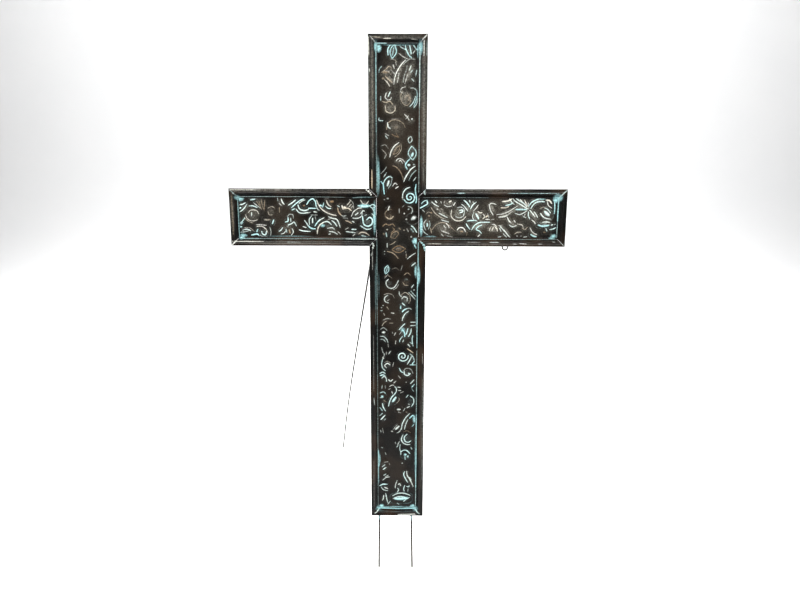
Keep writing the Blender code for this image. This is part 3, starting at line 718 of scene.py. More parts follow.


# Pressed lines from the top of the post down, each with rubbed paint and a painted highlight
# along its top: tint, strength, width, then x, height, ...
POST_STROKES = (
    # from the top end to 815: a tall leaf with an eye, stems and small hooked leaves
    (0.5, 0.9, 2.6, -13, 891, -17, 884, -17, 874), *leaf(0.6, 0.9, -8, 880, 23, 11, 80, 0.8),
    (0.3, 0.8, 2.2, 4, 888, 9, 885, 14, 883), (0.5, 0.9, 2.4, 13, 892, 14, 884, 19, 874, 24, 870),
    (0.4, 0.9, 2.6, 20, 891, 22, 882, 23, 876), (0.4, 0.8, 2.4, 27, 890, 31, 885, 33, 882),
    (0.1, 0.7, 2.2, 26, 877, 30, 882), (0.0, 0.6, 2.0, 2, 877, 8, 872, 14, 869, 18, 868),
    (-0.2, 0.45, 2, -13, 868, -6, 867, -2, 863), (0.0, 0.5, 1.8, -4, 863, -2, 857),
    (0.0, 0.95, 2.2, -7, 826, -5, 838, 0, 850, 7, 860, 13, 866), (0.0, 0.8, 2.4, -8, 858, -6, 852),
    (0.0, 0.7, 2, -1, 829, 1, 838, 2, 845), (0.1, 0.55, 2, 9, 858, 15, 864, 22, 868, 30, 867),
    (0.1, 0.5, 2, 9, 829, 11, 840, 15, 850, 16, 858), (0.0, 0.6, 2.2, 12, 827, 14, 833, 17, 842),
    (0.1, 0.8, 2.2, 20, 849, 23, 857), (0.3, 0.6, 2, 22, 845, 26, 850),
    (0.3, 0.7, 2.2, 31, 840, 33, 850),
    bead(-0.8, 0.5, -22, 846, 14, 6), bead(-0.6, 0.4, -25, 836, 8, 5),
    (-0.3, 0.85, 2.2, -22, 840, -16, 834, -10, 829), (-0.1, 0.8, 2.2, -23, 834, -18, 829, -14, 823),
    (-0.3, 0.6, 2, -28, 846, -22, 850, -15, 856, -10, 852), (0.5, 0.6, 2, -33, 845, -32, 851, -28, 856),
    (0.0, 0.6, 2, -12, 850, -8, 846, -4, 842), (-0.2, 0.5, 2, -17, 848, -12, 842),
    (0.2, 0.8, 2.2, 24, 836, 28, 831), (0.2, 0.6, 2, 22, 820, 28, 820, 33, 816),
    (0.6, 0.7, 2.4, 33, 816, 34, 808, 32, 800, 28, 790),
    # 815 to 750: an eyed scroll at the right, a cup of leaves at the left
    (0.3, 0.8, 2.2, 31, 806, 27, 796, 21, 789), (0.3, 0.8, 2, 35, 803, 33, 794, 28, 787),
    (-0.4, 0.5, 2.2, 8, 815, 5, 806, 8, 796, 15, 791, 22, 797, 21, 806, 16, 812),
    (-0.6, 0.5, 2.4, 12, 803, 16, 808, 20, 803, 17, 797),
    (0.0, 0.6, 2, 13, 822, 7, 820, 5, 814, 9, 812),
    (0.0, 0.8, 2.6, -20, 812, -22, 805, -18, 800), (0.2, 0.9, 2.6, -13, 814, -17, 806),
    (0.0, 0.6, 2, -18, 800, -13, 801, -11, 805), (0.3, 0.6, 2, -30, 806, -30, 799),
    (-0.3, 0.7, 2.2, -27, 798, -21, 796, -14, 798, -9, 793),
    (-0.2, 0.75, 2.6, -22, 790, -20, 781, -12, 778, -5, 783, -5, 790),
    (0.0, 0.7, 2.4, 12, 776, 17, 771, 20, 766), (0.0, 0.6, 2, 14, 768, 19, 774),
    bead(0.1, 0.8, 25, 768, 5, 4),
    (0.3, 0.9, 2, -33, 770, -33, 766, -26, 765), (0.1, 0.9, 3, -18, 762, -17, 755, -13, 752),
    (-0.4, 0.5, 2.4, -20, 750, -18, 760, -10, 766, 0, 766, 9, 761, 13, 754),
    bead(-0.8, 0.3, -3, 754, 12, 11),
    # 750 to 690: lens and drop leaves
    (0.0, 0.6, 2, -22, 743, -16, 740), (0.2, 0.7, 2.4, -22, 740, -18, 735),
    *leaf(0.2, 0.7, 22, 733, 12, 7, 80),
    (-0.8, 0.6, 2.2, -10, 742, -4, 739, 2, 737), (-0.8, 0.5, 2.2, -3, 744, 1, 738),
    (0.0, 0.95, 2.4, -14, 703, -12, 712, -6, 722, 2, 728),
    (-0.2, 0.6, 2, 6, 727, 6, 716, 0, 707, -6, 703),
    (-0.5, 0.7, 1.8, -8, 707, -3, 718, 4, 723), (-0.5, 0.6, 1.8, -8, 707, 1, 712, 4, 721),
    *leaf(0.4, 0.85, 26, 710, 24, 14, 95), bead(0.5, 0.9, 26, 707, 11, 6, 70),
    (0.0, 0.8, 2.2, -3, 696, 1, 700, 8, 699, 13, 694), (0.0, 0.7, 2, 2, 695, 5, 697, 9, 692),
    (0.6, 0.9, 2.8, 22, 700, 17, 695, 14, 689, 17, 682), bead(0.3, 0.9, 20, 689, 8, 5),
    bead(0.2, 0.7, 29, 690, 5, 2.5),
    # 690 to 625: hanging leaves, then a large spiral at the right
    (0.1, 0.95, 2.6, 31, 687, 24, 682, 18, 674, 13, 665, 11, 660),
    (0.3, 0.6, 2.2, 33, 680, 25, 672, 20, 662),
    (0.2, 0.7, 2, 33, 668, 28, 661), (-0.5, 0.6, 2.6, -9, 688, -2, 685, 5, 677, 9, 668, 10, 664),
    (0.0, 0.4, 2, -30, 722, -22, 724, -17, 718), (-0.1, 0.5, 2.2, -28, 716, -22, 710, -20, 705),
    (0.0, 0.5, 2, -24, 700, -20, 708), (0.1, 0.5, 2.2, -30, 674, -24, 680, -20, 686),
    (0.2, 0.6, 2.2, -25, 668, -20, 676), (0.8, 0.95, 3, -30, 660, -26, 655, -25, 645, -24, 638),
    (0.4, 0.9, 2.2, -26, 656, -22, 664, -15, 669, -10, 667), bead(0.2, 0.8, -17, 657, 14, 5, 75),
    (0.2, 0.6, 1.8, -10, 666, -12, 656, -17, 648), (0.0, 0.8, 2.2, -9, 652, -5, 657, -1, 655),
    (0.0, 0.8, 2.6, -4, 648, 1, 651), scroll(0.5, 1.0, 2.8, 22, 632, 11, 1.7, 200),
    (0.2, 0.9, 2.6, 9, 632, 10, 640, 15, 647, 22, 650),
    (0.7, 0.9, 3, 33, 655, 32, 645, 34, 630, 33, 622),
    (0.0, 0.7, 2.2, 8, 633, 10, 628), bead(0.1, 0.7, -18, 630, 6, 4), bead(0.0, 0.6, -24, 628, 4, 3),
    # 625 to 555: a round eye at the left of the crossing, beads and thin stems
    scroll(-0.4, 0.45, 2.2, -15, 600, 11, 1.0, 60),
    (-0.3, 0.85, 2.8, -20, 597, -17, 594, -12, 594, -8, 598),
    bead(0.0, 0.8, -17, 610, 5, 4), (0.0, 0.9, 2.4, -15, 616, -17, 611), bead(0.0, 0.7, 12, 603, 4, 4),
    bead(0.0, 0.7, 16, 593, 5, 4), bead(0.2, 0.8, 20, 611, 5, 4),
    (0.1, 0.7, 2, 19, 616, 25, 614, 27, 608, 25, 603),
    (0.0, 0.5, 2.4, 3, 612, 3, 604), (0.1, 0.5, 1.8, 8, 614, 12, 618),
    bead(0.1, 0.9, 29, 595, 14, 8, 30),
    (-0.7, 0.7, 2.4, -27, 580, -22, 584, -16, 582, -9, 584, -5, 580),
    (-0.7, 0.6, 2.2, -10, 578, -6, 574, -12, 568),
    (-0.5, 0.6, 2, 2, 577, 6, 574), (-0.6, 0.7, 2, -13, 560, -10, 567, -2, 571, 2, 567),
    (-0.7, 0.5, 2, -12, 560, -5, 558, 2, 566), bead(-0.1, 0.7, -19, 574, 5, 4),
    bead(-0.4, 0.4, -25, 566, 8, 6),
    bead(-0.2, 0.5, 12, 573, 5, 4), bead(0.1, 0.7, 25, 561, 5, 4), (0.4, 0.7, 2.6, -21, 568, -20, 561),
    (0.0, 0.5, 2.4, 17, 576, 20, 570), (0.3, 0.9, 2.6, 25, 581, 30, 577, 35, 569),
    (0.5, 0.6, 2, 24, 576, 29, 570),
    # 555 to 495: a long lens with bronze rubbed on it
    (0.7, 0.9, 3, 31, 546, 34, 540), *leaf(-0.8, 0.7, 2, 538, 25, 12, 5),
    bead(-0.9, 0.35, 2, 538, 16, 7, 5),
    (-0.4, 0.75, 2.2, -19, 534, -9, 531, -2, 525, 1, 521), (-0.3, 0.55, 2, -14, 546, -8, 549, -3, 553),
    (0.1, 0.7, 2.6, -19, 549, -19, 541), bead(0.1, 0.6, -24, 534, 3.5, 3),
    bead(0.1, 0.6, -24, 529, 3.5, 3),
    bead(0.0, 0.6, 15, 533, 3.5, 3), (-0.2, 0.5, 2.2, 16, 530, 16, 522),
    (0.1, 0.8, 2.2, 18, 520, 25, 526, 33, 531),
    (0.2, 0.9, 2.8, 26, 507, 33, 513), *leaf(0.5, 0.8, -20, 500, 17, 8, 75, 0.8),
    (0.0, 0.5, 1.8, -24, 484, -17, 492),
    (0.0, 0.45, 2, 6, 498, 9, 508), (0.3, 0.8, 2, 26, 507, 31, 511),
    (-0.2, 0.3, 2.6, -10, 501, -3, 503, 3, 499),
    # 495 to 430: a pair of open scrolls over a pair of closed ones
    (-0.4, 0.55, 2.4, 12, 490, 18, 494, 24, 490), (-0.3, 0.55, 2.4, 10, 476, 14, 471, 20, 471),
    (0.1, 0.75, 2.6, -17, 482, -21, 477, -20, 470, -14, 465, -7, 466, -2, 472, 2, 480),
    (-0.2, 0.4, 2.4, -25, 487, -18, 489, -10, 484),
    (-0.1, 0.5, 2, -25, 453, -17, 455, -9, 452, -6, 446),
    (0.1, 0.8, 2.6, -18, 452, -24, 447, -23, 440, -17, 437), (0.0, 0.5, 2, -15, 444, -19, 441),
    (0.1, 0.7, 3, 3, 459, 4, 453, 7, 449), (0.0, 0.5, 2, -8, 462, -2, 466, 2, 472),
    (0.1, 0.75, 2.6, 8, 445, 12, 449, 18, 447, 18, 441),
    (-0.2, 0.55, 2.2, 7, 452, 14, 457, 22, 452, 24, 443, 21, 436),
    (0.2, 0.8, 2, 21, 457, 27, 451, 33, 444),
    (0.3, 0.7, 2, 25, 460, 30, 454, 35, 449), (0.2, 0.8, 2.2, 26, 466, 30, 472),
    bead(0.2, 0.8, 31, 462, 5, 4),
    (0.3, 0.9, 3, 9, 437, 14, 432), (0.6, 1.0, 3, 6, 431, 6, 426), (0.2, 0.35, 2, 15, 483, 19, 482),
    # 430 to 355: small leaves at the left, a five-lobed fan at the right
    (0.5, 1.0, 3.4, 9, 420, 13, 424, 17, 426), (0.2, 0.7, 2, 17, 426, 22, 427, 26, 425),
    (0.2, 0.9, 2.4, 9, 403, 11, 411, 16, 418, 21, 421), (0.0, 0.5, 2.2, -27, 404, -20, 407, -13, 406),
    (-0.2, 0.6, 2.2, -29, 393, -25, 399, -20, 402), bead(0.1, 0.7, -30, 428, 4, 3),
    bead(0.1, 0.6, -27, 432, 4, 3),
    (-0.2, 0.6, 2.4, -20, 430, -17, 425), (0.2, 0.6, 2, -32, 422, -28, 422),
    (-0.1, 0.6, 2.2, -26, 417, -24, 413),
    (0.0, 0.6, 2.6, -12, 418, -6, 417), (0.2, 0.8, 2.2, 25, 400, 35, 400),
    (0.2, 0.8, 2.4, 24, 393, 34, 394),
    (-0.2, 0.5, 2, -15, 398, -8, 398), (0.3, 0.9, 2.4, 3, 385, 8, 391, 14, 397),
    (0.7, 1.0, 3, 9, 386, 13, 380, 14, 372), (0.4, 0.95, 2.8, 20, 388, 18, 381, 16, 376),
    (0.3, 0.95, 2.8, 26, 387, 25, 380, 21, 372), (0.4, 0.9, 2.2, 29, 374, 28, 366, 29, 358),
    (0.4, 0.8, 2.4, 10, 373, 5, 366, 4, 361), (0.2, 0.7, 2.2, 12, 366, 10, 361),
    bead(0.1, 0.8, -26, 380, 9, 5),
    (0.1, 0.6, 2.2, -32, 386, -26, 389, -20, 384),
    (0.2, 0.7, 2.4, -33, 372, -26, 372, -20, 366, -18, 360),
    (0.2, 0.6, 2.2, -33, 366, -27, 366, -22, 361), (0.0, 0.6, 2.2, -6, 374, -3, 380),
    (0.0, 0.6, 2, -10, 381, -9, 378),
    (0.1, 0.5, 2.2, 4, 376, 8, 383),
    # 355 to 290: a large spiral at the right, hooked leaves at the left
    (0.1, 0.9, 2.6, 20, 357, 24, 352), (0.3, 0.7, 2, 23, 361, 28, 358, 30, 353),
    (-0.3, 0.9, 2.6, 19, 348, 26, 343, 30, 340), (0.3, 0.8, 2.2, 24, 338, 30, 332, 33, 322),
    (0.2, 0.9, 2.4, 27, 333, 23, 324, 19, 317), (0.5, 0.9, 2.4, 33, 324, 27, 316),
    (0.5, 0.8, 2.4, 24, 316, 35, 316),
    scroll(0.3, 1.0, 2.8, 10, 333, 11, -1.6, 10),
    (0.1, 0.6, 2.2, -30, 350, -28, 342, -25, 336, -27, 330),
    (0.1, 0.7, 2.4, -13, 343, -17, 337), (0.0, 0.5, 2, -21, 342, -21, 336),
    (0.0, 0.8, 3, -28, 331, -26, 328),
    (0.0, 0.5, 2.2, -18, 358, -17, 351), (0.0, 0.6, 2.2, -3, 364, -4, 357),
    (0.3, 0.9, 2.4, -28, 328, -30, 318, -28, 309, -23, 304),
    (0.1, 0.85, 2.6, -14, 316, -19, 319, -24, 315, -21, 310),
    (-0.1, 0.5, 2, -24, 321, -18, 323, -13, 319), (0.0, 0.5, 2, -7, 321, -9, 312),
    (0.4, 0.9, 2.6, 4, 309, 7, 303, 12, 300),
    (0.1, 0.5, 2.4, 12, 303, 15, 308, 21, 309, 27, 306, 30, 299),
    (0.2, 0.95, 3, 13, 303, 14, 297, 20, 295, 25, 299), bead(0.3, 0.9, 22, 299, 5, 5),
    (0.3, 0.9, 2.4, -34, 298, -28, 301, -23, 298), (0.4, 0.9, 2.6, -33, 294, -28, 296, -24, 294),
    # 290 to 225: a large leaf leaning right
    (0.2, 0.9, 2.4, -30, 289, -25, 293, -21, 287, -21, 282), (0.1, 0.9, 3, -17, 286, -13, 283, -9, 286),
    (0.0, 0.6, 2.2, 2, 294, 6, 289), (0.0, 0.7, 2.4, -7, 279, -3, 283), bead(0.0, 0.6, 17, 281, 5, 4),
    (0.2, 0.9, 2.4, 25, 278, 28, 281, 32, 286), (0.5, 0.8, 2.6, 28, 271, 33, 277),
    (0.4, 0.6, 2, 28, 268, 32, 262),
    (0.2, 0.6, 2.2, -29, 275, -30, 267), (0.1, 0.5, 2.2, -23, 274, -23, 268),
    (0.0, 0.7, 2.2, -15, 272, -10, 275, -6, 274), (0.1, 0.8, 2.4, 1, 271, 6, 270),
    (0.1, 0.8, 2.2, 2, 264, 7, 264),
    (0.0, 0.6, 2, -17, 266, -13, 268), (0.0, 0.6, 2, 6, 259, 12, 262),
    (0.3, 0.95, 2.6, -17, 232, -15, 241, -11, 250, -5, 257, -2, 262),
    (0.2, 0.9, 2.4, -2, 262, -2, 268, -5, 272),
    (0.1, 0.8, 2.6, -11, 262, -9, 258), bead(0.4, 0.9, -6, 246, 16, 6, 55),
    (-0.3, 0.5, 1.8, 1, 251, 4, 245, -1, 238),
    (0.4, 0.8, 2.4, -33, 259, -27, 261, -23, 258), bead(0.6, 0.8, -29, 252, 8, 6),
    (0.3, 0.7, 2.2, -34, 249, -27, 250),
    (0.3, 0.8, 2.2, 17, 250, 21, 255), (0.3, 0.9, 2.6, 25, 253, 31, 248, 32, 240, 28, 232),
    (0.1, 0.9, 2.6, 19, 229, 24, 232), (0.1, 0.7, 2.6, 21, 237, 24, 236),
    (0.3, 0.95, 2.6, -29, 237, -27, 229, -23, 222), (0.5, 0.7, 2.4, -34, 229, -29, 222),
    (-0.3, 0.5, 1.8, -27, 245, -21, 240),
    # 225 to 145: long stems at the right, one bead on the axis
    (0.3, 0.8, 2.4, -34, 212, -29, 217), (0.2, 0.95, 2.8, -32, 204, -24, 213),
    (0.2, 0.5, 2, -25, 203, -22, 207),
    bead(0.1, 0.8, 3, 225, 10, 5), (0.0, 0.6, 2, 2, 220, 7, 218),
    (0.2, 0.95, 2.4, 24, 217, 16, 208, 10, 196, 8, 184),
    (0.2, 0.85, 2.2, 21, 205, 17, 196, 14, 184), (0.7, 0.9, 3, 24, 207, 30, 213, 33, 211),
    (0.6, 0.8, 2.4, 33, 195, 29, 190), bead(-0.2, 0.4, 18, 220, 6, 4), (0.1, 0.6, 2, 12, 222, 15, 228),
    bead(0.1, 0.85, 0, 187, 14, 5, 45), (0.0, 0.6, 2, -8, 183, -2, 191, 1, 193),
    (0.1, 0.7, 2, -1, 176, 5, 180, 8, 187),
    (0.0, 0.7, 2.4, -12, 180, -9, 179), (0.1, 0.6, 2.4, -33, 182, -32, 178),
    (0.0, 0.4, 2, -29, 186, -27, 176),
    (0.2, 0.95, 2.6, 11, 172, 8, 163, 12, 155, 19, 152, 25, 152),
    (0.3, 0.95, 2.8, 19, 174, 14, 168, 15, 160, 21, 157, 27, 160),
    (-0.4, 0.4, 2.2, 12, 178, 19, 181, 26, 177),
    (0.1, 0.6, 2, -4, 157, -3, 153), (0.1, 0.7, 2.2, 1, 152, 4, 158), (0.2, 0.7, 2.2, -1, 146, 2, 151),
    # 145 to 75
    (0.3, 0.7, 2, 6, 153, 5, 143, 7, 136), (0.4, 0.95, 2.8, 8, 137, 13, 140, 19, 139, 25, 133),
    (0.3, 0.8, 2.4, 7, 138, 7, 130), bead(0.6, 0.9, 16, 131, 9, 7), bead(0.5, 0.8, 21, 127, 7, 5, 90),
    (0.5, 0.8, 2.4, 15, 127, 16, 120), (0.3, 0.7, 2.6, 27, 146, 29, 142),
    bead(0.1, 0.7, 10, 112, 5, 4, 90),
    (0.2, 0.6, 2.2, -32, 146, -28, 144), (0.1, 0.5, 2.2, -24, 135, -22, 130),
    (0.0, 0.5, 2, -25, 114, -18, 115),
    (0.2, 0.9, 2.8, -28, 98, -22, 103), (0.2, 0.6, 2.4, -27, 86, -22, 89),
    (0.1, 0.8, 2.2, -29, 75, -22, 81, -15, 82), (0.1, 0.7, 2.2, -24, 82, -18, 86),
    (0.2, 0.7, 2.2, -30, 104, -24, 109),
    (0.0, 0.5, 2, -16, 112, -15, 108), (0.3, 0.95, 2.6, 15, 94, 13, 88, 17, 78, 21, 71),
    (0.1, 0.95, 2.4, 19, 95, 20, 86, 26, 76, 32, 62), (0.3, 0.7, 2.2, 24, 82, 28, 76),
    # below 75: leaves, and one long painted leaf near the foot
    (0.4, 0.95, 2.8, -36, 62, -29, 66, -20, 66), (0.1, 0.9, 3, -25, 60, -19, 57),
    (0.2, 0.8, 2.4, -32, 60, -27, 54, -19, 52), (0.1, 0.8, 2.2, 0, 75, -3, 66, -4, 58),
    (0.1, 0.9, 2.8, 2, 66, 5, 68, 7, 64), (0.2, 0.8, 2.4, 1, 58, 3, 54, 0, 49),
    (0.3, 0.8, 2.6, 15, 64, 13, 57, 14, 51), (0.3, 0.8, 2.4, 19, 62, 23, 61, 24, 64),
    (0.2, 0.6, 2, 22, 57, 21, 50),
    (0.2, 0.95, 2.6, -9, 41, 0, 46, 12, 47, 22, 44, 26, 42), bead(0.6, 0.9, 8, 36, 32, 9, 4),
    (0.2, 0.9, 2.2, -8, 35, 0, 39, 10, 40, 20, 37), (0.3, 0.9, 2.4, 13, 29, 18, 34, 25, 38),
    (0.2, 0.7, 2.6, -19, 22, -14, 29), (0.2, 0.9, 2.4, -23, 46, -21, 36, -19, 26),
    (0.1, 0.9, 2.6, -27, 42, -28, 34, -30, 31), (0.2, 0.7, 2, 0, 25, 4, 22),
    (0.7, 1.0, 2.6, -34, 19, -20, 16, 0, 17, 20, 16, 34, 20),
)
POST_WASHES = (
    (0.8, -34, 886, 7, 9), (0.75, 36, 881, 4, 16), (0.7, 0, 892, 40, 3), (0.6, -35, 670, 4, 42),
    (0.75, 33, 553, 8, 8), (0.7, 35, 497, 5, 16), (0.7, 33, 205, 4, 11), (0.5, 10, 385, 6, 6),
    (0.7, -36, 120, 4, 17), (0.6, 0, 15, 36, 4), (0.75, -31, 18, 6, 6), (0.75, 31, 18, 6, 6),
    (0.45, 36, 130, 3, 80), (0.4, 36, 420, 3, 60), (0.4, -36, 470, 3, 40), (0.35, 8, 36, 20, 7),
)
# Painted sheen: the post's ground lighter towards its top, where it reflects the bright room.
POST_PAINTED_SHEEN = (
    (0.50, 4, 825, 46, 80), (0.22, 0, 740, 44, 70), (0.16, 0, 560, 42, 50), (0.12, 10, 420, 34, 70),
)

# Pressed lines of the left arm, from its end to the crossing, each with rubbed paint and a
# painted highlight along its top.
LEFT_ARM_STROKES = (
    # outer end: crossing stems and a hooked scroll
    (0.2, 0.95, 2.6, -287, 618, -282, 619, -276, 622),
    (0.2, 0.9, 2.4, -288, 605, -283, 608, -278, 613, -274, 619),
    (0.4, 1.0, 3.2, -289, 611, -285, 613), (0.4, 0.9, 3, -267, 627, -259, 628),
    (0.3, 0.95, 2.4, -270, 616, -263, 616, -255, 613), (0.1, 0.7, 2.2, -262, 622, -256, 617, -250, 612),
    (-0.5, 0.6, 2.2, -256, 624, -251, 617, -248, 610),
    (-0.5, 0.5, 2.2, -247, 628, -246, 618, -244, 610),
    (-0.6, 0.5, 2.2, -241, 626, -242, 616, -243, 608), (-0.5, 0.5, 2, -251, 624, -249, 616),
    (-0.1, 0.8, 2.2, -272, 604, -268, 608, -262, 609, -256, 607, -253, 602),
    (0.1, 0.8, 2.8, -266, 604, -266, 598),
    (-0.1, 0.75, 2.2, -277, 600, -275, 594, -270, 590, -263, 589, -256, 591),
    (-0.2, 0.6, 2, -280, 596, -276, 591, -270, 587, -264, 585),
    (0.4, 0.8, 2.4, -289, 583, -284, 588, -279, 594),
    (0.6, 0.8, 2.4, -286, 583, -283, 586), (0.5, 0.95, 3, -289, 578, -285, 578),
    (0.2, 0.9, 2.4, -284, 572, -276, 574, -269, 571), (0.2, 0.7, 2.2, -289, 568, -280, 569, -272, 571),
    (-0.1, 0.5, 2, -280, 577, -270, 576, -263, 570), (0.6, 0.95, 3.4, -268, 563, -258, 565, -254, 562),
    # -260 to -215: overlapping leaves
    (0.6, 0.9, 3, -256, 574, -258, 569), (0.0, 0.75, 2, -259, 582, -250, 582, -240, 581),
    (-0.1, 0.8, 2.2, -258, 579, -248, 579, -241, 574, -238, 568),
    (0.3, 0.95, 3, -249, 570, -247, 565, -242, 564, -240, 570),
    (0.2, 0.7, 2.2, -253, 563, -248, 561, -240, 561),
    (0.1, 0.6, 2, -234, 578, -232, 570, -233, 562), (-0.2, 0.5, 2.2, -236, 612, -229, 615, -223, 612),
    (-0.2, 0.5, 2.2, -236, 606, -234, 600, -228, 600), (-0.4, 0.45, 3, -215, 613, -215, 605),
    (0.4, 1.0, 3, -229, 584, -226, 591), bead(-0.2, 0.4, -238, 591, 14, 5),
    # -218 to -160: stems, a fan and a bronze bead
    (0.2, 0.6, 2, -218, 632, -217, 625), (0.1, 0.95, 2.6, -211, 629, -209, 623, -206, 619),
    (0.0, 0.8, 2, -215, 621, -211, 617), (0.4, 0.95, 3, -205, 587, -200, 589, -200, 595),
    (0.1, 0.6, 2, -201, 597, -197, 601, -191, 600, -190, 594), (0.2, 0.8, 2.4, -195, 594, -195, 588),
    (0.2, 0.9, 2.6, -200, 582, -194, 584, -189, 587, -185, 580),
    (0.2, 0.9, 2.6, -217, 570, -213, 573, -210, 577),
    (0.1, 0.8, 2.2, -214, 565, -208, 567, -205, 571), (0.3, 0.8, 2.4, -204, 574, -203, 568),
    (-0.5, 0.9, 3, -198, 573, -197, 567), (0.1, 0.9, 2, -193, 575, -191, 569, -195, 563),
    (0.1, 0.6, 2.2, -201, 578, -199, 582), (0.2, 1.0, 2.8, -198, 618, -191, 622, -185, 627),
    (0.4, 0.95, 2.8, -193, 613, -186, 619, -177, 626, -170, 629), (0.4, 0.9, 2.8, -192, 609, -187, 611),
    (0.2, 0.9, 2.4, -185, 611, -180, 605, -172, 603, -163, 605),
    (0.2, 1.0, 3.2, -181, 618, -178, 611, -170, 608, -162, 610),
    (0.1, 0.8, 2.6, -179, 621, -174, 625, -168, 627), bead(-0.8, 0.6, -170, 617, 7, 5),
    (0.2, 0.9, 2.8, -180, 573, -173, 571, -160, 570), (0.1, 0.8, 2.6, -173, 579, -167, 577),
    # -165 to -120: a ring of leaves above, scrolls below
    (0.5, 0.95, 3, -165, 619, -160, 626, -154, 629, -149, 624, -148, 616),
    (0.5, 0.9, 2.8, -162, 612, -155, 612, -148, 612),
    (0.1, 0.9, 2.6, -153, 606, -147, 605), (0.1, 0.7, 2.2, -180, 604, -168, 603, -158, 605),
    (0.1, 0.5, 2, -158, 600, -146, 600),
    (-0.1, 0.9, 2.6, -147, 627, -143, 618, -138, 611, -130, 605, -120, 601, -112, 599),
    (0.1, 0.7, 2.2, -149, 622, -146, 612, -142, 608), (0.6, 0.9, 3, -141, 618, -137, 616),
    (0.5, 0.8, 2.4, -134, 622, -136, 614), (-0.1, 0.9, 3, -129, 626, -126, 619, -121, 615),
    (0.3, 0.9, 2.2, -131, 616, -126, 612, -121, 612), bead(-0.8, 0.7, -119, 624, 10, 6),
    (0.2, 0.8, 2.4, -161, 582, -161, 592, -157, 598), (0.2, 0.95, 3.2, -155, 594, -155, 586),
    (0.1, 0.5, 2, -150, 597, -149, 590), (0.6, 1.0, 3.4, -163, 580, -158, 576, -151, 575),
    (0.5, 0.9, 3, -151, 580, -147, 586, -142, 592), (0.2, 0.8, 2.6, -170, 590, -166, 585, -162, 578),
    (-0.1, 0.9, 3, -147, 566, -146, 574, -142, 582, -133, 588),
    (0.1, 0.9, 2.4, -147, 586, -140, 592, -134, 595),
    (0.2, 0.9, 2.6, -141, 582, -135, 587, -127, 588, -121, 583),
    # -128 to -75: hatched leaf and cream bead
    (0.1, 0.9, 2.6, -126, 597, -118, 594, -111, 592, -107, 585, -105, 578),
    (0.2, 0.95, 2.8, -120, 590, -115, 586, -111, 580),
    (0.1, 0.8, 2.2, -128, 576, -120, 577, -115, 574), (0.0, 0.5, 2, -127, 592, -121, 594),
    (0.1, 0.9, 2.4, -125, 570, -117, 569, -110, 565), (0.1, 0.8, 2.4, -126, 565, -123, 566),
    (0.0, 0.6, 2, -109, 570, -104, 565), (0.2, 0.8, 2.4, -109, 617, -106, 615),
    (-0.5, 0.8, 3, -109, 613, -107, 605, -103, 600), (0.1, 0.6, 2, -104, 601, -99, 598, -94, 599),
    (0.1, 0.4, 2, -100, 595, -90, 594), (-0.1, 0.9, 3.4, -101, 617, -99, 611),
    bead(-0.2, 0.9, -97, 613, 12, 7),
    (-0.2, 0.95, 2.6, -94, 612, -89, 612, -84, 608), (-0.1, 0.7, 2, -92, 618, -88, 622, -85, 627),
    (-0.1, 0.7, 1.8, -88, 615, -84, 620), (-0.1, 0.6, 1.8, -85, 612, -81, 617),
    (0.0, 0.5, 2, -87, 628, -81, 622, -80, 612), (-0.4, 0.7, 2.6, -95, 590, -89, 588, -84, 585),
    (0.1, 0.9, 2.4, -83, 589, -79, 587), (0.3, 0.8, 2.8, -84, 574, -76, 574),
    (0.2, 0.8, 2.2, -94, 570, -86, 569, -77, 568), (0.0, 0.5, 2, -96, 574, -90, 577),
    # -85 to -40: the large round scroll beside the crossing
    (0.0, 0.8, 2.4, -84, 598, -80, 606, -72, 612, -65, 613),
    (0.1, 0.8, 2.4, -82, 595, -74, 594, -66, 598, -64, 606),
    (0.1, 0.8, 3, -77, 600, -72, 604), (0.1, 0.9, 2.6, -67, 603, -63, 608, -60, 607),
    (0.4, 1.0, 3.4, -64, 598, -63, 590, -61, 583, -54, 580, -47, 584, -46, 592, -51, 596, -56, 592),
    (0.3, 0.85, 2.4, -68, 581, -62, 577, -55, 574, -48, 576), (0.2, 0.6, 2, -60, 599, -56, 601),
    (-0.1, 0.8, 2.4, -67, 627, -63, 621, -57, 620, -53, 625),
    (0.5, 1.0, 2.8, -72, 617, -60, 615, -50, 617),
    *leaf(0.4, 0.8, -45, 616, 11, 6, 0), (0.2, 0.9, 2.2, -47, 603, -42, 598),
    (0.3, 0.8, 2.2, -46, 612, -42, 606),
    (-0.2, 0.7, 2.4, -71, 566, -65, 569, -57, 567, -52, 563), (0.3, 0.8, 2.2, -66, 563, -58, 561),
    (0.0, 0.6, 2, -78, 566, -82, 562),
)
LEFT_ARM_WASHES = (
    (0.75, -286, 629, 9, 6), (0.7, -284, 562, 10, 5), (0.6, -137, 581, 6, 4), (0.65, -60, 617, 13, 5),
    (0.6, -42, 595, 4, 38), (0.5, -290, 595, 3, 40), (0.5, -62, 559, 24, 3), (0.4, -200, 561, 60, 2),
)
# Painted sheen on the left arm's ground, where it reflects the bright room.
LEFT_ARM_PAINTED_SHEEN = ((0.22, -262, 605, 50, 50), (0.20, -215, 590, 44, 44), (0.14, -90, 595, 60, 50))
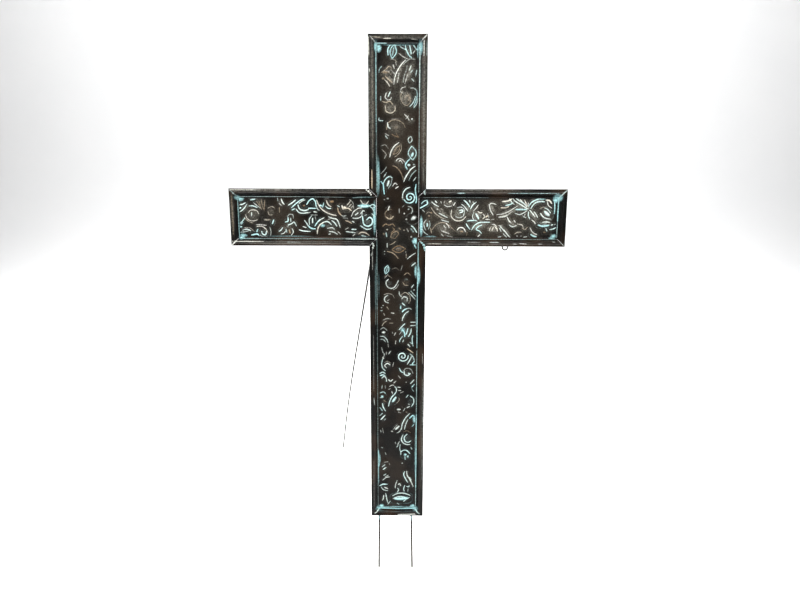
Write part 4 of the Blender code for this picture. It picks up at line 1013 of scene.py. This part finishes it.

# Pressed lines of the right arm, from the crossing to its end, each with rubbed paint and a
# painted highlight along its top.
RIGHT_ARM_STROKES = (
    # 40 to 90: a hooked stem, then leaves on a falling stem
    (0.5, 0.95, 3, 41, 613, 48, 617, 54, 621, 53, 627), (0.5, 0.9, 2.4, 43, 621, 47, 625, 52, 627),
    (0.1, 0.6, 2.2, 45, 610, 49, 606), (0.1, 0.7, 2.2, 52, 592, 48, 586, 49, 578, 52, 573),
    bead(0.4, 0.8, 54, 583, 9, 4, 90), (0.3, 0.5, 2, 58, 590, 59, 582, 56, 575),
    (-0.2, 0.5, 2, 52, 603, 56, 606, 61, 604), bead(-0.5, 0.6, 57, 599, 5, 4),
    bead(-0.9, 0.5, 61, 605, 7, 5),
    (0.2, 0.8, 2.2, 45, 575, 49, 569, 55, 565), (0.1, 0.95, 2.4, 62, 624, 68, 619, 74, 616),
    (0.1, 0.9, 2.6, 68, 626, 71, 623), (0.0, 0.7, 2.6, 78, 625, 79, 622),
    (0.0, 0.7, 2.2, 84, 619, 90, 616, 98, 617),
    (-0.1, 0.95, 3, 93, 624, 97, 626), (0.0, 0.95, 2.6, 101, 618, 104, 623),
    (-0.1, 0.6, 2.2, 85, 626, 84, 622),
    bead(0.0, 0.7, 72, 611, 5, 4), (-0.1, 0.4, 2, 78, 613, 83, 609),
    (-0.2, 0.6, 2.4, 60, 615, 68, 604, 76, 598, 84, 594), (0.1, 0.8, 2.6, 75, 604, 83, 600, 91, 596),
    (0.1, 0.8, 2.4, 80, 592, 86, 590, 93, 588), (0.0, 0.9, 2.6, 88, 586, 92, 582, 94, 578),
    (0.0, 0.8, 2.2, 84, 582, 88, 577),
    (-0.4, 0.5, 2.4, 63, 574, 70, 583, 80, 587, 90, 585, 98, 578, 105, 572),
    (0.0, 0.6, 3, 80, 572, 86, 570, 94, 567), (0.0, 0.7, 2.4, 80, 566, 84, 562),
    (0.1, 0.5, 2.4, 90, 563, 100, 561),
    (-0.3, 0.5, 3, 60, 577, 62, 568),
    # 95 to 150: a spiral, then two leaves over a bronze bead
    (-0.1, 0.9, 2.4, 98, 610, 97, 600, 102, 593, 110, 590, 118, 592, 124, 598),
    (0.1, 0.7, 2.2, 108, 614, 114, 615, 120, 612, 121, 605, 118, 598, 110, 596, 105, 599),
    (0.2, 1.0, 3, 113, 605, 118, 607, 117, 610, 112, 609),
    (0.3, 0.95, 3.2, 120, 627, 125, 623, 130, 616),
    (0.1, 0.9, 2.4, 116, 620, 121, 616, 127, 608), (0.2, 0.8, 2.6, 130, 627, 131, 623),
    (0.2, 0.95, 2.6, 132, 612, 136, 619, 142, 624), (0.0, 0.8, 2.2, 137, 608, 142, 613, 146, 619),
    (0.0, 0.7, 2, 136, 626, 137, 622), (0.1, 0.7, 2.2, 138, 606, 136, 598, 139, 592, 145, 590),
    (0.3, 1.0, 4, 142, 603, 145, 598, 147, 594), (-0.1, 0.95, 3, 146, 607, 149, 605, 153, 605),
    (-0.1, 0.8, 2.4, 155, 603, 158, 598, 155, 594), (-0.2, 0.9, 3, 160, 597, 164, 600),
    (0.0, 0.8, 2.4, 160, 593, 167, 593), (0.0, 0.5, 2, 170, 593, 175, 593),
    (0.4, 0.95, 2.8, 127, 590, 134, 591, 143, 591),
    (0.3, 0.95, 2.8, 125, 585, 128, 580, 132, 575),
    (0.3, 0.95, 2.6, 135, 574, 140, 582, 148, 587, 158, 588, 168, 588),
    (0.4, 0.9, 2.6, 153, 583, 147, 580, 143, 575, 149, 572, 153, 568),
    (0.0, 0.9, 2.8, 109, 574, 113, 578, 120, 577, 124, 571), bead(-0.7, 0.7, 117, 571, 8, 4),
    (-0.4, 0.5, 2, 127, 570, 126, 564), (0.0, 0.7, 3, 147, 562, 150, 565),
    # 160 to 190: beads and a hooked leaf
    (-0.1, 0.9, 2.6, 167, 573, 169, 578), (-0.1, 0.9, 2.8, 172, 573, 174, 579),
    (-0.1, 0.9, 2.8, 177, 580, 181, 576, 182, 572), (0.0, 0.7, 2.2, 172, 584, 176, 584, 180, 580),
    (0.0, 0.8, 2.4, 165, 619, 170, 622, 178, 620), (0.0, 0.9, 2.4, 166, 618, 168, 610, 173, 601),
    (0.1, 0.5, 2, 163, 604, 166, 596),
    # 180 to 270: a palmette whose lobes spread from one point, with stems below
    (0.1, 0.95, 2.6, 206, 633, 212, 626, 222, 620, 232, 614, 236, 612),
    (0.1, 0.8, 2.2, 201, 632, 206, 624, 211, 620),
    (0.2, 0.9, 2.4, 210, 634, 219, 627, 228, 622, 233, 616),
    (0.5, 0.9, 3.6, 214, 611, 222, 611, 233, 611),
    (0.1, 0.7, 2.6, 213, 604, 222, 602, 230, 606, 234, 609),
    (0.2, 0.9, 2.4, 237, 607, 237, 600, 240, 594),
    (0.1, 0.9, 2.4, 239, 610, 244, 604, 249, 598), (0.1, 0.9, 2.6, 247, 607, 251, 602, 254, 597),
    (0.1, 0.6, 2.4, 231, 603, 229, 597), (0.1, 0.6, 2, 226, 600, 233, 596),
    (0.0, 0.9, 2.8, 221, 629, 225, 625),
    (-0.1, 0.8, 2.4, 229, 628, 232, 622, 234, 617), (0.0, 0.8, 2.2, 236, 623, 235, 617),
    (0.4, 0.9, 3, 237, 617, 242, 624, 251, 629, 262, 632),
    (0.3, 0.95, 2.8, 241, 613, 246, 621, 254, 625, 265, 625),
    (0.0, 0.9, 2.4, 270, 626, 272, 619, 278, 614), (-0.1, 1.0, 3.4, 268, 628, 274, 627, 278, 622),
    (-0.1, 0.9, 3.2, 189, 625, 198, 626, 206, 630), (0.4, 0.9, 3, 195, 618, 203, 620, 208, 623),
    (-0.2, 0.8, 3, 187, 614, 195, 614, 201, 616),
    (0.0, 0.7, 2.2, 180, 602, 190, 603, 200, 607, 210, 613, 216, 617),
    (0.0, 0.6, 2, 190, 599, 200, 602, 208, 608), (0.0, 0.7, 4, 184, 597, 192, 598, 199, 600),
    (0.0, 0.95, 2.8, 199, 597, 202, 591, 206, 587), (0.0, 0.8, 2.4, 211, 592, 214, 588),
    (0.1, 0.9, 2.4, 203, 583, 209, 580, 216, 582), (-0.1, 0.6, 2.6, 218, 585, 226, 583, 229, 578),
    (-0.3, 0.5, 2.4, 226, 578, 232, 575, 236, 579), (0.0, 0.9, 2.4, 244, 592, 249, 588, 250, 585),
    (0.1, 0.95, 2.8, 187, 580, 195, 572, 201, 565, 206, 560), (0.0, 0.7, 2.2, 184, 582, 190, 581),
    (0.1, 0.8, 2.4, 186, 577, 189, 571), (0.1, 0.8, 2.6, 193, 567, 199, 561),
    (0.2, 0.8, 2.2, 184, 561, 189, 562),
    (-0.2, 0.6, 2.2, 214, 567, 219, 570, 226, 570), bead(0.0, 0.7, 218, 563, 5, 4),
    bead(0.0, 0.6, 225, 563, 4, 3),
    (0.1, 0.7, 2.4, 230, 561, 236, 562), (0.0, 0.8, 2.2, 241, 578, 246, 570, 254, 566),
    (0.5, 0.95, 3.6, 243, 566, 248, 563, 253, 562),
    # 255 to the end: a tilted leaf and short strokes beside the lip
    bead(0.3, 0.95, 270, 604, 16, 7, -40), (0.2, 0.9, 2.4, 266, 614, 272, 611, 277, 605),
    (0.1, 0.95, 2.6, 259, 604, 264, 598, 270, 595, 277, 594),
    (0.1, 0.9, 3, 263, 588, 270, 589, 276, 588),
    (0.6, 1.0, 4, 256, 583, 265, 581, 275, 583), (0.3, 0.8, 2.4, 270, 577, 272, 572),
    bead(-0.8, 0.5, 268, 570, 7, 4),
    (-0.4, 0.4, 2, 256, 612, 262, 615, 268, 614), (0.6, 0.9, 2.6, 283, 626, 284, 616, 284, 604),
    (0.3, 0.9, 3, 277, 575, 283, 576, 288, 579), (0.2, 0.8, 3, 279, 583, 282, 584),
    (0.2, 0.7, 2.4, 285, 584, 287, 585),
)
RIGHT_ARM_WASHES = (
    (0.75, 285, 562, 8, 6), (0.8, 286, 629, 7, 8), (0.7, 43, 580, 4, 24), (0.5, 258, 630, 14, 3),
    (0.45, 60, 561, 16, 3), (0.4, 268, 582, 12, 4), (0.3, 222, 611, 12, 4),
)
# Painted sheen: the right arm's ground lighter, where it reflects the bright room.
RIGHT_ARM_PAINTED_SHEEN = ((0.45, 90, 595, 50, 50), (0.55, 165, 596, 70, 50), (0.5, 235, 600, 60, 48))

# Broader pressed forms under the lines: x, height, length, width, turn in degrees.
POST_FORMS = (
    (-9, 882, 24, 12, 80), (20, 880, 26, 18, 60), (-20, 846, 26, 16, 20), (-14, 834, 24, 10, -50),
    (3, 848, 48, 11, 66), (22, 848, 44, 14, 68), (14, 803, 28, 28, 0), (-16, 786, 26, 24, 0),
    (-4, 754, 32, 30, 0), (24, 764, 22, 12, 30), (-5, 716, 36, 17, 58), (26, 712, 30, 17, 90),
    (20, 672, 34, 12, 52), (-17, 657, 34, 16, 76), (3, 690, 34, 12, -40), (22, 632, 26, 25, 0),
    (-16, 599, 26, 24, 0), (28, 595, 16, 11, 30), (-5, 566, 36, 14, 55), (2, 537, 34, 13, 10),
    (27, 573, 22, 9, -55), (-20, 500, 22, 11, 76), (-15, 474, 26, 22, 0), (16, 478, 28, 26, 0),
    (-20, 446, 20, 18, 0), (14, 443, 26, 24, 0), (14, 412, 30, 11, 58), (-24, 404, 26, 10, 30),
    (16, 378, 32, 26, 70), (-24, 374, 24, 16, -20), (9, 333, 26, 25, 0), (-20, 314, 24, 20, 0),
    (20, 299, 24, 20, 0), (28, 330, 22, 10, 60), (-28, 293, 14, 12, 0), (-6, 246, 44, 16, 62),
    (24, 242, 26, 20, 90), (-26, 240, 26, 10, -70), (14, 200, 56, 13, 66), (-26, 205, 20, 9, 45),
    (20, 166, 30, 28, 0), (17, 129, 24, 20, 0), (-28, 112, 26, 12, 60), (-24, 84, 22, 12, 35),
    (21, 76, 42, 11, -60), (-24, 60, 22, 14, -20), (5, 62, 26, 12, 80), (8, 36, 42, 17, 8),
    (-22, 36, 26, 10, -70),
)
LEFT_ARM_FORMS = (
    (-278, 612, 24, 12, 25), (-264, 600, 30, 26, 0), (-248, 622, 26, 14, -30), (-246, 568, 28, 22, 0),
    (-276, 572, 26, 10, -10), (-230, 607, 20, 18, 0), (-212, 620, 20, 12, -60), (-200, 575, 30, 20, 0),
    (-192, 620, 30, 12, 35), (-170, 612, 34, 24, 0), (-155, 586, 26, 14, 90), (-152, 618, 26, 20, 0),
    (-130, 606, 50, 10, -40), (-126, 624, 28, 10, -50), (-124, 578, 44, 26, -30),
    (-94, 612, 34, 18, 10),
    (-72, 604, 28, 13, 40), (-56, 588, 26, 24, 0), (-60, 622, 20, 14, 0), (-70, 566, 36, 10, -10),
)
RIGHT_ARM_FORMS = (
    (54, 584, 26, 13, 90), (56, 620, 20, 10, 30), (78, 608, 48, 10, -36), (84, 574, 46, 22, -30),
    (94, 622, 24, 12, 0), (111, 604, 30, 28, 0), (130, 612, 34, 22, 90), (117, 570, 22, 18, 0),
    (144, 600, 22, 18, -40), (148, 580, 38, 16, 10), (172, 612, 24, 10, -60), (174, 576, 26, 18, 0),
    (200, 624, 36, 12, 10), (206, 608, 54, 13, 24), (197, 571, 34, 12, -52), (226, 616, 46, 16, -20),
    (208, 586, 30, 12, -35), (250, 626, 44, 14, 20), (246, 602, 32, 12, -60), (270, 604, 26, 14, -40),
    (268, 586, 26, 10, 0), (248, 566, 26, 10, -35), (279, 566, 22, 14, 0),
)

panel_paint = enamel_material("panel_enamel", (0.0038, 0.0035, 0.0031), (0.014, 0.010, 0.007), 0.26)


def raised_forms(x, h, forms):
    """The highest of smooth ovals at points in millimetres: each is (1 - r^2)^1.5, r being the
    oval's own radius at the point."""
    made = np.zeros_like(x)
    for form_x, form_h, length, width, turn in forms:
        angle = math.radians(turn)
        u = ((x - form_x) * math.cos(angle) + (h - form_h) * math.sin(angle)) / (length / 2)
        v = ((h - form_h) * math.cos(angle) - (x - form_x) * math.sin(angle)) / (width / 2)
        made = np.maximum(made, np.clip(1 - u * u - v * v, 0, 1) ** 1.5)
    return made


def even_steps(low, high, cell):
    """Evenly spaced values from low to high, with an even number of steps of about the cell."""
    return np.linspace(low, high, 2 * round((high - low) / cell / 2) + 1)


def border_loop(rows, columns):
    """Point numbers round the border of a grid: along the first row, up the last column, back
    along the last row and down the first column."""
    bottom = np.arange(columns)
    right = np.arange(1, rows) * columns + columns - 1
    top = (rows - 1) * columns + np.arange(columns - 2, -1, -1)
    left = np.arange(rows - 2, 0, -1) * columns
    return np.concatenate([bottom, right, top, left])


def sheet_faces(rows, columns):
    """Faces of a sheet whose back has every other point of its front: the front's quads, the
    back's quads turned round, and five-sided faces that close the border."""
    back_rows, back_columns = rows // 2 + 1, columns // 2 + 1
    front = quads_over(rows, columns)
    back = quads_over(back_rows, back_columns)[:, ::-1] + rows * columns
    rim, back_rim = border_loop(rows, columns), border_loop(back_rows, back_columns) + rows * columns
    first, middle = rim[0::2], rim[1::2]
    sides = [np.roll(first, -1), middle, first, back_rim, np.roll(back_rim, -1)]
    return front.tolist() + back.tolist() + np.stack(sides, axis=-1).tolist()


def make_panel(name, x, h, strokes, forms, washes, sheen_and_wear, turned_x=None):
    """One pressed panel over rows h and columns x.

    Its face stands forward by FORM_RISE times the broad forms plus RIDGE_RISE times the lines,
    faded out where the moulding laps it, and by TURNED_RISE at its turned edge, turned_x.
    """
    x, h = np.meshgrid(x, h)
    laid = lay_strokes(x.ravel() / MM, h.ravel() / MM, strokes)
    lines = laid[0].reshape(x.shape)
    broad = raised_forms(x / MM, h / MM, forms)
    lift = FORM_RISE * broad + RIDGE_RISE * lines
    lift += PANEL_WAVE * slow_waves(x + 0.6 * h, 7, 0.11) * slow_waves(h - 0.4 * x, 8, 0.09)
    to_side = np.abs(x).max() - np.abs(x)
    inside = np.minimum(to_side, np.minimum(h - h.min(), h.max() - h)) - PANEL_LAP
    lift *= np.clip(inside / 0.0014, 0, 1)
    if turned_x is not None:
        turned = np.exp(-(np.abs(x - turned_x) / TURNED_WIDTH) ** 4)
        lift = np.maximum(lift, TURNED_RISE * turned)
    front = stand(x, PANEL_FACE - lift, h)
    back = stand(x, PANEL_FACE - lift + PANEL_SHEET, h)[::2, ::2]
    points = np.concatenate([front.reshape(-1, 3), back.reshape(-1, 3)])
    panel = finished_piece(
        "pressed_" + name, points, sheet_faces(*x.shape), panel_paint, "embossed_panel", name
    )
    unpainted = np.zeros(back[..., 0].size)
    # Stroke paint with its painted highlights, and a faint painted light on the tops of the broad forms.
    strokes_and_form_light = np.maximum(laid[1], FORM_PAINTED_LIGHT * broad.ravel())
    laid = [np.concatenate([value, unpainted]) for value in (laid[0], strokes_and_form_light, laid[2])]
    # Painted shading of the relief: the painted sheen is stronger on the broad forms and ridges than on the
    # flat ground between them.
    raised = np.concatenate([(FLAT_SHEEN_SHARE + broad + 0.8 * lines).ravel(), unpainted])
    both_x = np.concatenate([x.ravel(), x[::2, ::2].ravel()])
    both_h = np.concatenate([h.ravel(), h[::2, ::2].ravel()])
    paint_and_light_values(panel.data, both_x, both_h, laid, washes, sheen_and_wear, raised)
    return panel


post_half = HALF_LIMB - PANEL_MARGIN
post_heights = even_steps(PANEL_MARGIN, HEIGHT - PANEL_MARGIN, POST_CELL)
post_columns = even_steps(-post_half, post_half, POST_CELL)
make_panel("post_panel", post_columns, post_heights, POST_STROKES, POST_FORMS, POST_WASHES, POST_PAINTED_SHEEN)

arm_start = post_half + PANEL_GAP
arm_columns = even_steps(arm_start, HALF_SPAN - PANEL_MARGIN, ARM_CELL)
arm_heights = even_steps(LOWER_LIMB + PANEL_MARGIN, ARM_TOP - PANEL_MARGIN, ARM_CELL)
make_panel("left_arm_panel", -arm_columns[::-1], arm_heights, LEFT_ARM_STROKES, LEFT_ARM_FORMS,
           LEFT_ARM_WASHES, LEFT_ARM_PAINTED_SHEEN, -arm_start)
make_panel("right_arm_panel", arm_columns, arm_heights, RIGHT_ARM_STROKES, RIGHT_ARM_FORMS,
           RIGHT_ARM_WASHES, RIGHT_ARM_PAINTED_SHEEN, arm_start)

# Rods: 4 mm steel wire. Two stakes are welded up the back of the post and stick out below it;
# the leg is welded to the left stake behind the crossing and bows out, back and down. Black
# enamel with a little turquoise overspray under the post and bare grey steel at the cut ends.

ROD_RADIUS = 0.002
ROD_SKIN = ROD_RADIUS - 0.00002
ROD_SIDES = 16
WELD_GAP = 0.0003
STAKE_BACK = DEPTH + WELD_GAP + ROD_RADIUS
STAKE_TOP_SETBACK = 0.0005
STAKE_BEND = 0.012
SPLAY_AT_BEND = 0.10
LEFT_STAKE_X, LEFT_STAKE_SPLAY = -0.0360, -0.0015
RIGHT_STAKE_X, RIGHT_STAKE_SPLAY = 0.0285, 0.0025
LEG_TOP = 0.652
LEG_BEND = 0.604
LEG_KNEE = 0.020
LEG_KNEE_SHARE = 0.03
LEG_FOOT_X = -0.1655
LEG_FOOT_BACK = 0.528
LEG_BOW = 0.030
LEG_BOW_SKEW = 1.75


def floor_height(back):
    """Height, in the plane of the cross, of the floor at a distance back from the crest."""
    return (back * math.sin(LEAN) - PLANE_Z) / math.cos(LEAN)


def tube(path, radius, sides):
    """Rings of points round a path, as an array of rings by sides by three.

    Each ring lies across the path's direction, and its first point is on the side of one fixed
    direction, so the tube isn't twisted. Radius is one number or one for each ring.
    """
    way = np.gradient(path, axis=0)
    way /= np.linalg.norm(way, axis=1, keepdims=True)
    across = np.cross(way, (0.83, 0.41, 0.37))
    across /= np.linalg.norm(across, axis=1, keepdims=True)
    other = np.cross(way, across)
    turn = (2 * math.pi * np.arange(sides) / sides)[None, :, None]
    reach = np.broadcast_to(radius, len(path))[:, None, None]
    ring = across[:, None] * np.cos(turn) + other[:, None] * np.sin(turn)
    return path[:, None] + reach * ring


def tube_faces(rings, sides):
    """Faces of a closed tube: quads between its rings and one flat face at each end."""
    ends = [list(range(sides))[::-1], [(rings - 1) * sides + i for i in range(sides)]]
    return quads_over(rings, sides, wrap=True).tolist() + ends


def make_rod(name, path, radius, sides, on_floor, slot="rod"):
    """A rod along plane points (x, back, height), cut level with the floor if it stands on it."""
    path = np.asarray(path, float)
    places = stand(path[:, 0], path[:, 1], path[:, 2])
    points = tube(places, radius, sides)
    if on_floor:
        way = places[-1] - places[-2]
        points[-1] -= way * (points[-1][:, 2:] / way[2])
    piece = finished_piece(
        "round_" + name, points, tube_faces(len(path), sides), rod_paint, slot, name
    )
    height = points[..., 2].ravel()
    plane_height = (height - PLANE_Z) / math.cos(LEAN)
    spray = np.exp(-((plane_height + 0.012) / 0.007) ** 2) * on_floor
    worn = np.clip((0.006 - height) / 0.006, 0, 1)
    set_value(piece.data, "paint_and_highlight", 0.5 * spray * (plane_height > -0.03) + 0.3 * worn)
    set_value(piece.data, "tint", 0.6 * (spray > worn))
    # A faint lighter ground along the whole rod, and bare worn steel at the cut ends.
    set_value(piece.data, "sheen_and_wear", 0.10 + 0.5 * worn)
    return piece


rod_paint = enamel_material("rod_enamel", (0.010, 0.009, 0.0085), (0.028, 0.020, 0.015), 0.42)


def stake_path(x, splay):
    """Straight up the back of the post, splayed a little below it; short steps near the foot."""
    foot = floor_height(STAKE_BACK)
    high = np.linspace(HEIGHT - STAKE_TOP_SETBACK, STAKE_BEND, 30)
    low = np.linspace(-STAKE_BEND, foot, 50)
    share = (low + STAKE_BEND) / (foot + STAKE_BEND)
    out = np.concatenate([0 * high, splay * (SPLAY_AT_BEND + (1 - SPLAY_AT_BEND) * share)])
    height = np.concatenate([high, low])
    return np.stack([x + out, np.full_like(height, STAKE_BACK), height], axis=-1)


def leg_path():
    """Down the back of the left stake, round a knee, then out to the foot in a bow.

    The knee is a quadratic curve. Below it the leg is the straight line from bend to foot,
    lifted forward and up by LEG_BOW times sin(pi u^LEG_BOW_SKEW), u being the share of the
    line, less what that gives at the knee's end.
    """
    behind = STAKE_BACK + WELD_GAP + 2 * ROD_RADIUS
    top = np.array([LEFT_STAKE_X, behind, LEG_TOP])
    bend = np.array([LEFT_STAKE_X, behind, LEG_BEND])
    foot = np.array([LEG_FOOT_X, LEG_FOOT_BACK, floor_height(LEG_FOOT_BACK)])
    knee_high = bend + [0, 0, LEG_KNEE]
    knee_low = bend + (foot - bend) * LEG_KNEE_SHARE
    t = np.linspace(0, 1, 9)[:-1, None]
    knee = (1 - t) ** 2 * knee_high + 2 * t * (1 - t) * bend + t ** 2 * knee_low
    u = np.linspace(LEG_KNEE_SHARE, 1, 72)[:, None]
    bow = np.sin(math.pi * u ** LEG_BOW_SKEW) - math.sin(math.pi * LEG_KNEE_SHARE ** LEG_BOW_SKEW) * (1 - u)
    lower = bend + (foot - bend) * u + LEG_BOW * bow * np.array([0, -1, 1]) / math.sqrt(2)
    upper = top + (knee_high - top) * np.linspace(0, 1, 6)[:-1, None]
    return np.concatenate([upper, knee, lower])


make_rod("left_stake", stake_path(LEFT_STAKE_X, LEFT_STAKE_SPLAY), ROD_SKIN, ROD_SIDES, True)
make_rod("right_stake", stake_path(RIGHT_STAKE_X, RIGHT_STAKE_SPLAY), ROD_SKIN, ROD_SIDES, True)
make_rod("rear_leg", leg_path(), ROD_SKIN, ROD_SIDES, True)

# Wire loop: a small U of 2.6 mm wire, welded by its ends to the back of the right arm's lower
# rail, hanging just below its edge. Same black enamel.

LOOP_WIRE_RADIUS = 0.0013
LOOP_X = 0.1985
LOOP_WIDTH = 0.0095
LOOP_DROP = 0.0075
LOOP_RISE = 0.009


def loop_path():
    """Down one side, half a turn round below, and up the other side."""
    radius = LOOP_WIDTH / 2
    middle = LOWER_LIMB - LOOP_DROP + radius
    turn = math.pi * (1 + np.linspace(0, 1, 17))
    side = np.linspace(LOWER_LIMB + LOOP_RISE, middle, 6)[:-1]
    x = np.concatenate([0 * side - radius, radius * np.cos(turn), 0 * side + radius])
    height = np.concatenate([side, middle + radius * np.sin(turn), side[::-1]])
    back = np.full_like(x, DEPTH + WELD_GAP + LOOP_WIRE_RADIUS)
    return np.stack([LOOP_X + x, back, height], axis=-1)


make_rod("arm_wire_loop", loop_path(), LOOP_WIRE_RADIUS, 12, False)

# Welds: lumpy beads of steel left where the lengths meet, at the inner corners of the crossing
# in front, and behind where the stakes, the leg and the loop are tacked.

WELD_SIDES = 12
STAKE_TACK_IN = 0.0045

# Name, tint, paint and painted highlight, radius, then x, distance back and height of the places it runs
# through.
WELDS = (
    ("crossing_weld_upper_left", 0.0, 0.8, 1.5, (-57, 1.0, 646), (-50, 0.6, 641), (-47, 0.6, 635)),
    ("crossing_weld_upper_right", 0.3, 0.7, 1.4, (49, 0.8, 645), (48, 0.6, 641), (50, 0.8, 637)),
    ("crossing_weld_lower_left", 0.1, 0.8, 1.5, (-46, 0.8, 551), (-44, 0.4, 545), (-46, 0.6, 538)),
    ("crossing_weld_lower_right", 0.6, 0.8, 1.7, (41, 1.6, 553), (48, 0.6, 546), (50, 0.9, 536)),
)


def make_weld(name, tint, paint_and_highlight, radius, places, seed):
    """A lumpy bead along plane places in millimetres, closed to a blunt point at both ends.

    Its radius swells and shrinks by a third as a sine along it, and by a seeded sixth.
    """
    line = smooth_line(places, 10) * MM
    share = np.linspace(0, 1, len(line))
    lumps = 1 + 0.33 * np.sin(2 * math.pi * share * 2.5 * len(places) / 2 + seed)
    rough = 1 + np.random.default_rng(seed).uniform(-0.16, 0.16, len(line))
    reach = radius * MM * lumps * rough * np.sin(math.pi * np.clip(share, 0.03, 0.97)) ** 0.3
    points = tube(stand(line[:, 0], line[:, 1], line[:, 2]), reach, WELD_SIDES)
    weld = finished_piece(name, points, tube_faces(len(line), WELD_SIDES), rail_paint, "moulding")
    swell = np.repeat(np.clip(lumps * 0.7, 0, 1), WELD_SIDES)
    set_value(weld.data, "paint_and_highlight", paint_and_highlight * swell)
    set_value(weld.data, "tint", np.full(swell.shape, tint))
    # A lighter ground over the whole weld.
    set_value(weld.data, "sheen_and_wear", np.full(swell.shape, 0.2))


for seed, (name, tint, paint_and_highlight, radius, *places) in enumerate(WELDS):
    make_weld(name, tint, paint_and_highlight, radius, places, seed)


def make_back_welds():
    """Tacks behind: rods to end rails and leg to stake as short upright beads beside the rod,
    and the loop's ends as small beads over its wire."""
    tacks = []
    edge = DEPTH / MM
    for side_name, rod_x in (("left", LEFT_STAKE_X), ("right", RIGHT_STAKE_X)):
        for end_name, height in (("foot", STAKE_TACK_IN), ("top", HEIGHT - STAKE_TACK_IN)):
            for beside in (-1, 1):
                x, h = rod_x / MM + beside * 2.0, height / MM
                label = f"{side_name}_stake_{end_name}_tack_{'inner' if beside * rod_x < 0 else 'outer'}"
                tacks.append((label, 1.3, [(x, edge + 0.9, h + step) for step in (-4, 0, 4)]))
    leg_back = (STAKE_BACK + ROD_RADIUS) / MM
    for height in (LEG_BEND / MM + 26, LEG_TOP / MM - 6):
        for beside in (-1, 1):
            x = LEFT_STAKE_X / MM + beside * 1.2
            label = f"leg_tack_{round(height)}_{'left' if beside < 0 else 'right'}"
            tacks.append((label, 1.1, [(x, leg_back, height + step) for step in (-4, 0, 4)]))
    for side in (-1, 1):
        x, h = LOOP_X / MM + side * LOOP_WIDTH / 2 / MM, (LOWER_LIMB + LOOP_RISE) / MM - 2
        across = [(x - 1.6, edge + 0.6, h - 2), (x, edge + 1.8, h), (x + 1.6, edge + 0.6, h + 2)]
        tacks.append((f"loop_tack_{side + 1}", 1.2, across))
    for seed, (label, radius, places) in enumerate(tacks):
        make_weld(label, 0.0, 0.0, radius, places, 20 + seed)


make_back_welds()
